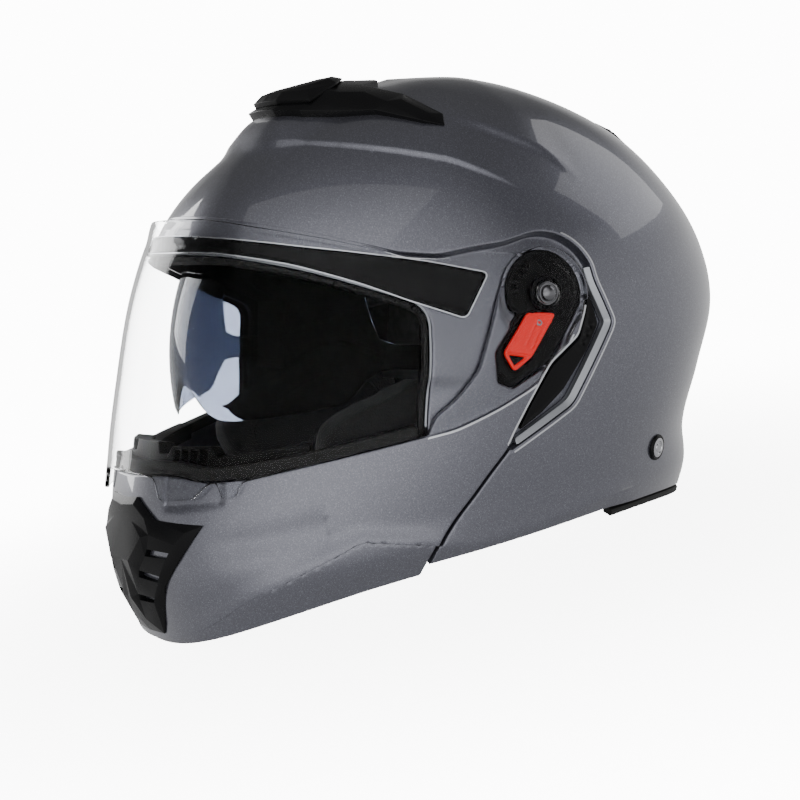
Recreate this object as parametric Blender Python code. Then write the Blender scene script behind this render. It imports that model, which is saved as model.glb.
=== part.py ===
"""Flip-up motorcycle helmet, modelled as the separate pieces it comes apart into.

The helmet stands on its chin bar and its rear rim. It faces -Y, the wearer's left is +X and +Z is up.
Its outer form is one surface, skin(). Most pieces are slices of the space just outside or inside that
surface, cut to an outline drawn in side view. Outlines are lists of (y, z) in millimetres.
"""

import math

import bmesh
import bpy
import numpy as np
from mathutils import Matrix, Vector

MM = 0.001
GAP = 0.4

# Driving form: three profiles of the outer surface, from the crown (level 0) to the rim (level 1).
LEVELS = [0, 0.10, 0.22, 0.34, 0.46, 0.58, 0.70, 0.80, 0.90, 0.96, 1.0]
FRONT_YZ = [(25, 246), (-5, 244), (-38, 236), (-72, 221), (-102, 200), (-124, 167), (-142, 124),
            (-154, 92), (-164, 57), (-166, 27), (-160, -1.5)]
SIDE_XYZ = [(0, 25, 246), (36, 25, 240), (72, 24, 222), (98, 21, 196), (115, 18, 166), (122, 15, 135),
            (124, 11, 103), (122, 7, 72), (118, 0, 44), (115, -8, 29), (110, -12, 17)]
REAR_YZ = [(25, 246), (62, 239), (100, 221), (135, 194), (158, 161), (170.6, 129), (170, 97),
           (155, 71), (140, 42), (138, 18), (130, 0.2)]
PLAN_SQUARENESS = 0.86
FRONT_FULLNESS = 1.04
REAR_FULLNESS = 0.92

# The chin bar and the visor turn about this line, which runs along X.
PIVOT_Y, PIVOT_Z = 24.0, 134.0
ARM_R = 23.0
ARM_INNER_X = 111.2
POCKET_FLOOR_X = 110.6
BOSS_R = 5.5

# The sun visor turns about a line further forward and lower, inside the shell.
SUN_Y, SUN_Z = 10.0, 105.0
SUN_R = 129.0
SUN_HALF_WIDTH = 112.0
SUN_ARM_X = 100.5

SHELL_WALL = 4.5
CHIN_WALL = 4.6
RECESS_DEPTH = 6.0
VISOR_WALL = 2.2
VISOR_PROUD = 4.0
VISOR_SIDE_PROUD = 1.6
VISOR_CORNER_PROUD = 3.0
VISOR_POCKET = 3.0
LUG_POCKET_EXTRA = 2.5
FAR = 190.0

# Where the chin strap's rivets go through the shell, and what the chin bar's latch turns on and holds.
RIVET_PHI = math.radians(124)
RIVET_V = 0.905
LATCH_PIN = (-60.0, 36.0)
LATCH_PIVOT = (-80.0, 40.0)

# Head cavity of the foam liner, a half ellipsoid over long straight walls.
CAVITY_CENTRE = (0.0, 26.0, 133.0)
CAVITY_SIZE = (80.0, 102.0, 72.0)
CAVITY_DEEP = 200.0
PAD = 9.0

PORT_TOP = [(-FAR, 187), (-115, 183.5), (-106, 181), (-81, 168.5), (-57, 154), (-34, 140)]
PORT = PORT_TOP + [(-39.5, 116), (-47, 90), (-56, 40), (-60, 10), (-62, -12), (-FAR, -12)]
SEAM = [(-12, 67), (-23, 58), (-33, 49), (-43, 40.5), (-52, 31.5), (-58, 22), (-61.5, 16), (-68, 0), (-73, -12)]
ARM_REAR = [(43.3, 121.5), (36.2, 110.4), (18.5, 101.5), (12.6, 95.7), (2.4, 84.8), (-6.5, 74.4)]
ARM_FRONT = [(-49, 82.5), (-44, 90), (-34, 95), (-27.5, 99.5), (-19, 106.5), (-9.4, 123), (-1.4, 137)]
CHIN_TOP = [(-FAR, 84), (-150, 84), (-141, 79.5), (-125, 78.5), (-105, 80), (-84, 81)]
RECESS_TOP = [(-FAR, 222), (-106, 203), (-90, 194), (-64, 181), (-40, 168), (-23, 163), (-6, 163), (8, 162)]
RECESS_REAR = [(52.5, 134), (57.8, 113), (56, 110), (27, 79), (-11, 65.5)]
VISOR_TOP = [(-FAR, 218), (-106, 200), (-90, 191.5), (-64, 179), (-40, 166), (-23, 161), (-6, 161)]
VISOR_BOTTOM = [(35.5, 117), (19.2, 100), (4.3, 93.5), (-12.5, 88.5), (-23.5, 86), (-36, 83.5),
                (-80, 82.5), (-105, 81), (-137, 78), (-FAR, 78)]
BROW = [(-FAR, 200), (-115, 194), (-106, 190), (-77, 178.5), (-40, 165), (-24, 159), (-1.5, 149.5),
        (-18, 131.5), (-42, 145.5), (-61, 158), (-84, 172), (-106, 182.5), (-115, 185), (-FAR, 189)]
WEDGE = [(48.6, 130), (50.4, 113), (41, 102.4), (24, 87), (10, 79), (-3.5, 73.5), (5, 84), (15.5, 95),
         (21, 100), (38.3, 109), (45.2, 120.5)]
PLATE_LOWER = [(7.1, 128), (-9, 113), (-10.9, 99), (-3.8, 94.7), (18, 101.8), (31, 114)]
LEVER = [(12, 127.5), (26.5, 123.5), (9.1, 106.6), (-1.5, 101.8), (-4.9, 111.7)]
LEVER_SCREW = (16.8, 121.5)
LEVER_TRAVEL_AXIS = (-0.66, -0.75)
CHEEK = [(-84, 88), (-62, 99), (-30, 108), (4, 112), (32, 94), (34, 52), (16, 30), (-40, 24), (-74, 44)]

CHIN_VENT_XZ = [(0, 73), (16, 74), (27, 67), (32, 63), (58, 60), (45, 44), (34, 32), (17, 6), (0, 6)]
TOP_VENT_XY = [(0, -50), (22, -46), (34, -34), (50, -10), (70, 4), (74, 12), (67, 16), (45, 8), (24, -4),
               (12, 12), (0, 18)]

PAINT = ("paint_gunmetal", (0.16, 0.18, 0.20), 0.28, 0.85)
BLACK_GLOSS = ("black_gloss", (0.012, 0.012, 0.013), 0.18, 0.0)
BLACK_MATTE = ("black_matte", (0.02, 0.02, 0.021), 0.55, 0.0)
RUBBER = ("rubber", (0.015, 0.015, 0.015), 0.75, 0.0)
CLEAR = ("visor_clear", (0.85, 0.88, 0.90), 0.03, 0.0)
SMOKE = ("sun_smoke", (0.10, 0.13, 0.20), 0.06, 0.0)
RED = ("lever_red", (0.75, 0.03, 0.02), 0.35, 0.0)
CHROME = ("chrome", (0.75, 0.75, 0.76), 0.12, 1.0)
STEEL = ("steel", (0.42, 0.42, 0.44), 0.35, 1.0)
FOAM = ("foam", (0.04, 0.04, 0.045), 0.9, 0.0)
CLOTH = ("liner_cloth", (0.02, 0.02, 0.024), 0.95, 0.0)
WEBBING = ("webbing", (0.025, 0.025, 0.028), 0.9, 0.0)


# ---------------------------------------------------------------- scene and materials

def clear_scene():
    for obj in list(bpy.data.objects):
        bpy.data.objects.remove(obj, do_unlink=True)


def collection(name, hidden=False):
    found = bpy.data.collections.new(name)
    bpy.context.scene.collection.children.link(found)
    found.hide_render = hidden
    return found


def material(finish):
    name, colour, roughness, metallic = finish
    found = bpy.data.materials.get(name)
    if found is None:
        found = bpy.data.materials.new(name)
        found.use_nodes = True
        shader = found.node_tree.nodes["Principled BSDF"]
        shader.inputs["Base Color"].default_value = (*colour, 1.0)
        shader.inputs["Roughness"].default_value = roughness
        shader.inputs["Metallic"].default_value = metallic
        found.diffuse_color = (*colour, 1.0)
    return found


def new_object(name, mesh, finish=None):
    """A named part, or a hidden cutter where no finish is given."""
    obj = bpy.data.objects.new(name, mesh)
    if finish is None:
        CUTTERS.objects.link(obj)
        obj.hide_render = True
        obj.display_type = "WIRE"
    else:
        PARTS.objects.link(obj)
        mesh.materials.append(material(finish))
    return obj


def mesh_from(bm, name, smooth_angle=35):
    """Writes the bmesh, given in millimetres, as a mesh in metres with its faces pointing out."""
    bmesh.ops.remove_doubles(bm, verts=bm.verts, dist=1e-4)
    bmesh.ops.recalc_face_normals(bm, faces=bm.faces)
    bmesh.ops.scale(bm, verts=bm.verts, vec=(MM, MM, MM))
    mesh = bpy.data.meshes.new(name)
    bm.to_mesh(mesh)
    bm.free()
    mesh.shade_smooth()
    mesh.set_sharp_from_angle(angle=math.radians(smooth_angle))
    return mesh


def combine(target, other, operation):
    modifier = target.modifiers.new(operation.title(), "BOOLEAN")
    modifier.operation = operation
    modifier.object = other
    return target


def cut(target, *cutters):
    for cutter in cutters:
        combine(target, cutter, "DIFFERENCE")
    return target


def keep_inside(target, other):
    return combine(target, other, "INTERSECT")


def join(target, *others):
    for other in others:
        combine(target, other, "UNION")
    return target


# ---------------------------------------------------------------- outlines

def rounded(points, radius, steps=3):
    """Replaces each corner by a short curve that starts and ends the given distance from it."""
    result = []
    count = len(points)
    for index, corner in enumerate(points):
        corner = Vector(corner)
        before = Vector(points[index - 1]) - corner
        after = Vector(points[(index + 1) % count]) - corner
        reach = min(radius, before.length * 0.45, after.length * 0.45)
        start = corner + before.normalized() * reach
        end = corner + after.normalized() * reach
        for step in range(steps + 1):
            t = step / steps
            point = start * (1 - t) ** 2 + corner * (2 * t * (1 - t)) + end * t ** 2
            result.append((point.x, point.y))
    return result


def grown(points, distance):
    """The outline moved outwards by the distance along its own normals, with mitred corners."""
    pts = [Vector(p) for p in points]
    area = sum(a.x * b.y - b.x * a.y for a, b in zip(pts, pts[1:] + pts[:1]))
    turn = 1 if area > 0 else -1
    result = []
    for index, point in enumerate(pts):
        before = (point - pts[index - 1]).normalized()
        after = (pts[(index + 1) % len(pts)] - point).normalized()
        normal = Vector((before.y + after.y, -(before.x + after.x))) * turn
        if normal.length < 1e-6:
            normal = Vector((before.y, -before.x)) * turn
        normal.normalize()
        own = Vector((before.y, -before.x)) * turn
        scale = distance / max(0.5, normal.dot(own))
        result.append(tuple(point + normal * scale))
    return result


def arc(centre, radius, start, end, steps):
    """Points round a centre, from one angle to another in degrees."""
    angles = [math.radians(start + (end - start) * i / steps) for i in range(steps + 1)]
    return [(centre[0] + radius * math.cos(a), centre[1] + radius * math.sin(a)) for a in angles]


PIVOT = (PIVOT_Y, PIVOT_Z)
CHIN = CHIN_TOP + ARM_FRONT + arc(PIVOT, ARM_R, 155, -12, 12) + ARM_REAR + SEAM + [(-FAR, -12)]
RECESS = RECESS_TOP + arc(PIVOT, ARM_R + 6.3, 100, 15, 6) + RECESS_REAR + [
    (y + 1.4, z - 0.4) for y, z in SEAM] + [(-FAR, -12)]
VISOR = VISOR_TOP + arc(PIVOT, ARM_R - 0.5, 110, -30, 10) + VISOR_BOTTOM
PLATE = arc(PIVOT, 20.5, 190, -25, 14) + PLATE_LOWER[::-1]


# ---------------------------------------------------------------- the outer surface

def through(values, v):
    """A smooth curve through one value at each level."""
    x = np.array(LEVELS, float)
    y = np.array(values, float)
    steps = np.diff(x)
    slopes = np.diff(y) / steps
    tangents = np.empty(len(x))
    tangents[0] = slopes[0]
    tangents[-1] = slopes[-1]
    tangents[1:-1] = (slopes[:-1] * steps[1:] + slopes[1:] * steps[:-1]) / (steps[1:] + steps[:-1])
    i = np.clip(np.searchsorted(x, v, side="right") - 1, 0, len(steps) - 1)
    u = (v - x[i]) / steps[i]
    ahead = 3 * u**2 - 2 * u**3
    bends = tangents[i] * (u**3 - 2 * u**2 + u) + tangents[i + 1] * (u**3 - u**2)
    return y[i] * (1 - ahead) + y[i + 1] * ahead + steps[i] * bends


def skin(phi, v):
    """Points on the outer surface. phi is 0 at the front and a quarter turn at the wearer's left."""
    sine = np.sin(phi)
    cosine = np.cos(phi)
    reach = np.abs(cosine)
    side_x, side_y, side_z = (through([p[k] for p in SIDE_XYZ], v) for k in range(3))
    front_y, front_z = (through([p[k] for p in FRONT_YZ], v) for k in range(2))
    rear_y, rear_z = (through([p[k] for p in REAR_YZ], v) for k in range(2))
    ahead = cosine > 0
    x = side_x * np.sign(sine) * np.abs(sine) ** PLAN_SQUARENESS
    y = np.where(ahead, side_y + (front_y - side_y) * reach**FRONT_FULLNESS,
                 side_y + (rear_y - side_y) * reach**REAR_FULLNESS)
    z = side_z + (np.where(ahead, front_z, rear_z) - side_z) * reach**3
    return np.stack([x, y, z], -1)


def skin_and_normals(phi, v):
    e = 0.004
    inner = np.clip(v, 2 * e, 1 - e)
    across = skin(phi + e, inner) - skin(phi - e, inner)
    down = skin(phi, inner + e) - skin(phi, inner - e)
    normal = np.cross(down, across)
    normal /= np.linalg.norm(normal, axis=-1, keepdims=True)
    return skin(phi, v), normal


def smooth(low, high, value):
    t = np.clip((value - low) / (high - low), 0, 1)
    return t * t * (3 - 2 * t)


def sideways(phi):
    """0 round the front, 1 from the temples back."""
    return smooth(math.radians(48), math.radians(80), np.abs(phi))


def from_pivot(points):
    return np.hypot(points[..., 1] - PIVOT_Y, points[..., 2] - PIVOT_Z)


def proud(phi, points):
    """How far the visor stands out from the skin: most at the front, least at the pivots."""
    ridge = 2.0 * smooth(186, 196, points[..., 2])
    side = sideways(phi)
    corner = VISOR_CORNER_PROUD * smooth(144, 160, points[..., 2]) * smooth(24, 38, from_pivot(points))
    return (VISOR_PROUD + ridge) * (1 - side) + (VISOR_SIDE_PROUD + corner) * side


def recess_floor(phi, points):
    """The recess under the visor and the chin bar. It runs out towards the forehead."""
    low = 1 - smooth(100, 125, points[..., 2])
    return 0.3 + (RECESS_DEPTH - 0.3) * np.maximum(sideways(phi), low)


def offset_surface(phi, v, depth):
    points, normals = skin_and_normals(phi, v)
    amount = depth(phi, points) if callable(depth) else np.full(phi.shape, float(depth))
    return points - normals * amount[..., None]


def layer(name, outer, inner, finish=None, phi=(-180, 180), v=(0, 1), columns=40, rows=16):
    """A closed slice between two depths below the skin. A depth is a number or a function."""
    full = phi[1] - phi[0] >= 360
    angles = np.radians(np.linspace(phi[0], phi[1], columns + 1))
    angles = angles[:-1] if full else angles
    grid_v, grid_phi = np.meshgrid(np.linspace(v[0], v[1], rows + 1), angles, indexing="ij")
    faces_out = offset_surface(grid_phi, grid_v, outer)
    faces_in = offset_surface(grid_phi, grid_v, inner)
    if v[0] == 0:
        faces_out[0] = faces_out[0].mean(axis=0)
        faces_in[0] = faces_in[0].mean(axis=0)
    return new_object(name, lofted(name, faces_out, faces_in, full, v[0] == 0), finish)


def lofted(name, outer, inner, wraps, pole):
    """A closed mesh between two grids of points. It has no wall at the first row where that is a pole."""
    bm = bmesh.new()
    sheets = [[[bm.verts.new(p) for p in row] for row in grid] for grid in (outer, inner)]
    rows = len(outer)
    columns = len(outer[0])
    last = columns if wraps else columns - 1
    for sheet in sheets:
        for r in range(rows - 1):
            for c in range(last):
                d = (c + 1) % columns
                bm.faces.new((sheet[r][c], sheet[r][d], sheet[r + 1][d], sheet[r + 1][c]))
    for r in ([rows - 1] if pole else [0, rows - 1]):
        for c in range(last):
            d = (c + 1) % columns
            bm.faces.new((sheets[0][r][c], sheets[0][r][d], sheets[1][r][d], sheets[1][r][c]))
    if not wraps:
        for c in (0, columns - 1):
            for r in range(rows - 1):
                bm.faces.new((sheets[0][r][c], sheets[0][r + 1][c], sheets[1][r + 1][c], sheets[1][r][c]))
    return mesh_from(bm, name)


# ---------------------------------------------------------------- simple solids

def prism(name, outline, low, high, axis="X", finish=None):
    """The outline extruded along an axis. For X it holds (y, z), for Y (x, z) and for Z (x, y)."""
    bm = bmesh.new()
    places = {"X": lambda a, b, h: (h, a, b), "Y": lambda a, b, h: (a, h, b), "Z": lambda a, b, h: (a, b, h)}
    place = places[axis]
    base = bm.faces.new([bm.verts.new(place(a, b, low)) for a, b in outline])
    lifted = bmesh.ops.extrude_face_region(bm, geom=[base])
    moved = [g for g in lifted["geom"] if isinstance(g, bmesh.types.BMVert)]
    bmesh.ops.translate(bm, verts=moved, vec=place(0, 0, high - low))
    return new_object(name, mesh_from(bm, name), finish)


def side_prism(name, outline, side, inner=55.0, outer=160.0, finish=None):
    low, high = sorted((side * inner, side * outer))
    return prism(name, outline, low, high, "X", finish)


def cylinder(name, centre_yz, radius, x_low, x_high, side=1, finish=None, segments=20, radius_high=None):
    """A cylinder or cone along X, from one distance off the middle plane to another, on one side."""
    bm = bmesh.new()
    top = radius if radius_high is None else radius_high
    length = x_high - x_low
    bmesh.ops.create_cone(bm, cap_ends=True, segments=segments, radius1=radius, radius2=top, depth=length)
    turn = Matrix.Rotation(math.radians(90 * side), 4, "Y")
    middle = Matrix.Translation((side * (x_low + x_high) / 2, centre_yz[0], centre_yz[1]))
    bmesh.ops.transform(bm, matrix=middle @ turn, verts=bm.verts)
    return new_object(name, mesh_from(bm, name), finish)


def block(name, low, high, finish=None):
    bm = bmesh.new()
    size = Vector(high) - Vector(low)
    bmesh.ops.create_cube(bm, size=1, matrix=Matrix.Translation((Vector(low) + Vector(high)) / 2)
                          @ Matrix.Diagonal((*size, 1)))
    return new_object(name, mesh_from(bm, name), finish)


def ring(name, centre_yz, outer_r, inner_r, x_low, x_high, side, finish):
    made = cylinder(name, centre_yz, outer_r, x_low, x_high, side, finish)
    return cut(made, cylinder(name + "_bore", centre_yz, inner_r, x_low - 2, x_high + 2, side))


def side_name(side):
    return "left" if side > 0 else "right"


def dome(name, size, centre, deep, finish=None, columns=28, rows=12):
    """The head's space: half an ellipsoid on top, drawn out below into long walls."""
    bm = bmesh.new()
    bmesh.ops.create_uvsphere(bm, u_segments=columns, v_segments=rows, radius=1)
    for vert in bm.verts:
        tall = size[2] if vert.co.z > 0 else deep
        vert.co = Vector((vert.co.x * size[0], vert.co.y * size[1], vert.co.z * tall)) + Vector(centre)
    return new_object(name, mesh_from(bm, name), finish)


# ---------------------------------------------------------------- shell and what is fixed to it

def shell_wall(phi, points):
    """The wall thickens round the temples, where it carries the hinges."""
    temples = smooth(50, 75, np.degrees(np.abs(phi))) * (1 - smooth(105, 125, np.degrees(np.abs(phi))))
    return SHELL_WALL + 3.0 * temples * (1 - smooth(178, 200, points[..., 2]))


def recess_back(phi, points):
    return recess_floor(phi, points) + 4.0 + 5.0 * (1 - smooth(34, 52, from_pivot(points)))


def make_shell():
    shell = layer("outer_shell", 0, shell_wall, PAINT, v=(0, 0.986), columns=36, rows=14)
    cut(shell, prism("recess_cut", RECESS, -FAR, FAR))
    panel = layer("recess_panel", recess_floor, recess_back, phi=(-128, 128), v=(0.36, 0.986),
                  columns=28, rows=9)
    keep_inside(panel, prism("recess_panel_limit", grown(RECESS, 4.5), -FAR, FAR))
    for side in (1, -1):
        pocket = cylinder("hinge_pocket_" + side_name(side), PIVOT, ARM_R + 1.6, POCKET_FLOOR_X, 150, side,
                          segments=32)
        cut(panel, pocket)
    join(shell, panel)
    cut(shell, prism("port_cut", rounded(PORT, 9), -FAR, FAR))
    for side in (1, -1):
        cut(shell, cylinder("boss_hole_" + side_name(side), PIVOT, BOSS_R + GAP, 90, 130, side))
        cut(shell, normal_pin("rivet_hole_" + side_name(side), side * RIVET_PHI, RIVET_V, 20, -9, 2.9))
    return shell


def make_port_gasket():
    """The rubber bead that lines the edge of the face opening."""
    bead = layer("port_gasket", lambda p, q: recess_floor(p, q) - 0.2, lambda p, q: recess_floor(p, q) + 4.6,
                 RUBBER, phi=(-122, 122), v=(0.40, 0.986), columns=30, rows=10)
    keep_inside(bead, prism("gasket_outer", grown(rounded(PORT, 9), -GAP), -FAR, FAR))
    cut(bead, prism("gasket_inner", grown(rounded(PORT, 9), -GAP - 2.6), -FAR - 20, FAR + 20))
    return cut(bead, block("gasket_end", (-FAR, -FAR, -20), (FAR, FAR, 50)))


def make_brow_insert():
    insert = layer("brow_insert", lambda p, q: recess_floor(p, q) - 1.6, lambda p, q: recess_floor(p, q) - 0.6,
                   BLACK_GLOSS, phi=(-112, 112), v=(0.38, 0.66), columns=30, rows=6)
    return keep_inside(insert, prism("brow_outline", rounded(BROW, 2), -FAR, FAR))


def make_side_trim(side):
    name = side_name(side)
    trim = layer("side_trim_" + name, 3.4, RECESS_DEPTH - 0.5, BLACK_GLOSS, phi=sorted((side * 70, side * 130)),
                 v=(0.50, 0.86), columns=8, rows=6)
    return keep_inside(trim, side_prism("wedge_" + name, WEDGE, side))


def make_rim_trim():
    return layer("rim_trim", -0.5, SHELL_WALL + 0.8, RUBBER, phi=(112, 248), v=(0.9885, 1.0),
                 columns=22, rows=1)


def solid_body(name, depth, finish, v_end, columns=32, rows=11):
    """The whole space inside the skin from a given depth, closed across the bottom."""
    angles = np.radians(np.linspace(-180, 180, columns + 1)[:-1])
    grid_v, grid_phi = np.meshgrid(np.linspace(0, v_end, rows + 1), angles, indexing="ij")
    points = offset_surface(grid_phi, grid_v, depth)
    points[0] = points[0].mean(axis=0)
    bm = bmesh.new()
    rings = [[bm.verts.new(p) for p in row] for row in points]
    for r in range(rows):
        for c in range(columns):
            d = (c + 1) % columns
            bm.faces.new((rings[r][c], rings[r][d], rings[r + 1][d], rings[r + 1][c]))
    centre = bm.verts.new(points[-1].mean(axis=0))
    for c in range(columns):
        bm.faces.new((rings[-1][c], rings[-1][(c + 1) % columns], centre))
    return new_object(name, mesh_from(bm, name), finish)


def foam_depth(phi, points):
    """The liner's outer face. It keeps clear of the thick part of the shell round the temples."""
    angle = np.degrees(np.abs(phi))
    temples = smooth(36, 60, angle) * (1 - smooth(132, 148, angle)) * (1 - smooth(197, 222, points[..., 2]))
    return SHELL_WALL + 1.4 + 10.4 * temples


def sun_radius(x):
    return SUN_R * np.sqrt(1 - (x / SUN_HALF_WIDTH) ** 2)


def about_sun(x, r, angle):
    """A point at a distance and angle from the sun visor's axis. The angle is 0 at the front."""
    turn = math.radians(angle)
    return (x, SUN_Y - r * math.cos(turn), SUN_Z + r * math.sin(turn))


def sun_pocket():
    """All the space outside the sun visor's inner face over its whole travel."""
    edge = SUN_ARM_X - 4.0
    inside = np.linspace(-edge, edge, 15)
    profile = [(x, sun_radius(x) - 4.5) for x in inside]
    profile = [(-130, 2), (-edge - 0.2, 2)] + profile + [(edge + 0.2, 2), (130, 2)]
    angles = np.linspace(-16, 86, 12)
    inner = [[about_sun(x, r, a) for x, r in profile] for a in angles]
    outer = [[about_sun(x, 175, a) for x, r in profile] for a in angles]
    return new_object("sun_pocket", lofted("sun_pocket", outer, inner, False, False))


def make_liner():
    foam = solid_body("eps_liner", foam_depth, FOAM, 0.90)
    cut(foam, dome("head_space", CAVITY_SIZE, CAVITY_CENTRE, CAVITY_DEEP))
    cut(foam, prism("liner_port_cut", grown(PORT, 2.5), -FAR, FAR))
    cut(foam, sun_pocket())
    for side in (1, -1):
        name = side_name(side)
        cut(foam, cylinder("sun_hub_space_" + name, (SUN_Y, SUN_Z), 11, SUN_ARM_X - 4.2, 130, side))
        cut(foam, cylinder("boss_space_" + name, PIVOT, 10, SUN_ARM_X - 0.5, 130, side))
        cut(foam, side_prism("cheek_space_" + name, grown(rounded(CHEEK, 8), 1.0), side, 30, 101.5))
    return foam


def make_crown_pad():
    """The comfort liner: a thin cap inside the foam, open at the face and at the neck."""
    pad = dome("crown_pad", [s - 0.8 for s in CAVITY_SIZE], CAVITY_CENTRE, CAVITY_DEEP, CLOTH)
    inner = [s - PAD for s in CAVITY_SIZE]
    cut(pad, dome("crown_pad_space", inner, CAVITY_CENTRE, CAVITY_DEEP - PAD))
    cut(pad, prism("crown_pad_face", grown(PORT, 7), -FAR, FAR))
    cut(pad, block("crown_pad_below", (-120, -120, -80), (120, 160, 124)))
    return pad


def make_cheek_pad(side):
    name = side_name(side)
    pad = layer("cheek_pad_" + name, 28, 52, CLOTH, phi=sorted((side * 44, side * 124)), v=(0.5, 0.985),
                columns=12, rows=8)
    return keep_inside(pad, side_prism("cheek_limit_" + name, rounded(CHEEK, 8), side, 30))


def make_neck_roll():
    return layer("neck_roll", SHELL_WALL + 3.2, 29, CLOTH, phi=(112, 248), v=(0.915, 0.98), columns=18, rows=2)


def normal_pin(name, phi, v, deep, high, radius, finish=None, segments=20):
    """A pin square to the skin, from one depth below it to another."""
    point, normal = skin_and_normals(np.array([phi]), np.array([v]))
    bm = bmesh.new()
    bmesh.ops.create_cone(bm, cap_ends=True, segments=segments, radius1=radius, radius2=radius,
                          depth=deep - high)
    direction = Vector(normal[0])
    centre = Vector(point[0]) - direction * (deep + high) / 2
    turn = Vector((0, 0, 1)).rotation_difference(direction).to_matrix().to_4x4()
    bmesh.ops.transform(bm, matrix=Matrix.Translation(centre) @ turn, verts=bm.verts)
    return new_object(name, mesh_from(bm, name), finish)


def make_strap_rivet(side):
    name = "strap_rivet_" + side_name(side)
    phi = side * RIVET_PHI
    head = normal_pin(name, phi, RIVET_V, -0.4, -2.0, 5.8, CHROME)
    return join(head, normal_pin(name + "_shank", phi, RIVET_V, 6.5, -1.0, 2.5))


def make_top_vent():
    outline = TOP_VENT_XY + [(-x, y) for x, y in TOP_VENT_XY[-2:0:-1]]
    vent = layer("top_vent_base", -5.2, -0.4, BLACK_GLOSS, v=(0, 0.34), columns=36, rows=9)
    keep_inside(vent, prism("top_vent_outline", outline, 150, 300, "Z"))
    cut(vent, block("top_vent_mouth", (-15, -60, 236), (15, -18, 246.5)))
    return vent


def make_top_vent_slider():
    slider = layer("top_vent_slider", -7.6, -6.0, BLACK_MATTE, v=(0, 0.34), columns=36, rows=9)
    outline = [(-15, -30), (15, -30), (11, -4), (0, 2), (-11, -4)]
    return keep_inside(slider, prism("slider_outline", outline, 150, 300, "Z"))


def make_rear_exhaust():
    exhaust = layer("rear_exhaust", -3.6, -0.6, BLACK_MATTE, phi=(140, 220), v=(0.30, 0.62), columns=14, rows=6)
    outline = [(-40, 196), (-30, 204), (30, 204), (40, 196), (24, 160), (-24, 160)]
    return keep_inside(exhaust, prism("exhaust_outline", outline, 60, 220, "Y"))


def make_pivot_boss(side):
    name = "pivot_boss_" + side_name(side)
    boss = cylinder(name, PIVOT, 8, 102, 105.0, side, STEEL)
    join(boss, cylinder(name + "_post", PIVOT, BOSS_R, 104, 122.1, side))
    return cut(boss, cylinder(name + "_thread", PIVOT, 2.3, 112, 130, side, segments=16))


def make_pivot_screw(side):
    name = "pivot_screw_" + side_name(side)
    head = cylinder(name, PIVOT, 4.8, 122.5, 125.0, side, CHROME, radius_high=3.2)
    return join(head, cylinder(name + "_shank", PIVOT, 1.9, 113, 123.2, side, segments=16))


def make_sun_post(side):
    name = "sun_visor_post_" + side_name(side)
    post = cylinder(name, (SUN_Y, SUN_Z), 5.5, SUN_ARM_X - 3.2, SUN_ARM_X - 1.6, side, STEEL)
    return join(post, cylinder(name + "_pin", (SUN_Y, SUN_Z), 3.0, SUN_ARM_X - 2, 107.2, side, segments=16))


def make_latch_pin(side):
    name = "latch_pin_" + side_name(side)
    low, high = sorted((side * 95.3, side * 97.8))
    plate = block(name, (low, -65, 31), (high, -46, 41), STEEL)
    return join(plate, cylinder(name + "_pin", LATCH_PIN, 2.5, 89, 96, side, segments=16))


def band(name, path, width, thickness, finish):
    """Flat webbing laid along a path, with its width along Y."""
    rows = []
    for index, point in enumerate(path):
        ahead = Vector(path[min(index + 1, len(path) - 1)]) - Vector(path[max(index - 1, 0)])
        up = Vector((-ahead.z, 0, ahead.x)).normalized()
        up = up if up.z > 0 else -up
        rows.append((Vector(point), up * thickness / 2))
    half = Vector((0, width / 2, 0))
    upper = [[p + u - half, p + u + half] for p, u in rows]
    lower = [[p - u - half, p - u + half] for p, u in rows]
    return new_object(name, lofted(name, upper, lower, False, False), finish)


def make_strap(side):
    path = [(72, 40, 25), (68, 34, 20), (60, 27, 15.5), (48, 19, 12), (36, 13, 10.5), (27, 10, 10)]
    return band("chin_strap_" + side_name(side), [(side * x, y, z) for x, y, z in path], 20, 2.2, WEBBING)


def make_buckle():
    body = block("buckle_body", (-12, -1, 6.5), (26.4, 21, 13), BLACK_MATTE)
    cut(body, block("buckle_slot", (-20, 2, 8.4), (20, 18, 11.6)))
    lever = block("buckle_lever", (-14, 2, 13.4), (20, 18, 15.6), RED)
    join(lever, cylinder_y("lever_barrel", (20, 15.2), 1.7, 2, 18))
    tongue = block("buckle_tongue", (-25.6, 3, 9), (12, 17, 11), STEEL)
    for x in (-8, -2, 4):
        cut(tongue, block("tooth_gap", (x, 2, 10.3), (x + 3, 18, 12)))
    return body, lever, tongue


def cylinder_y(name, centre_xz, radius, low, high, segments=16):
    outline = arc(centre_xz, radius, 0, 360 * (segments - 1) / segments, segments - 1)
    return prism(name, outline, low, high, "Y")


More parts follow.
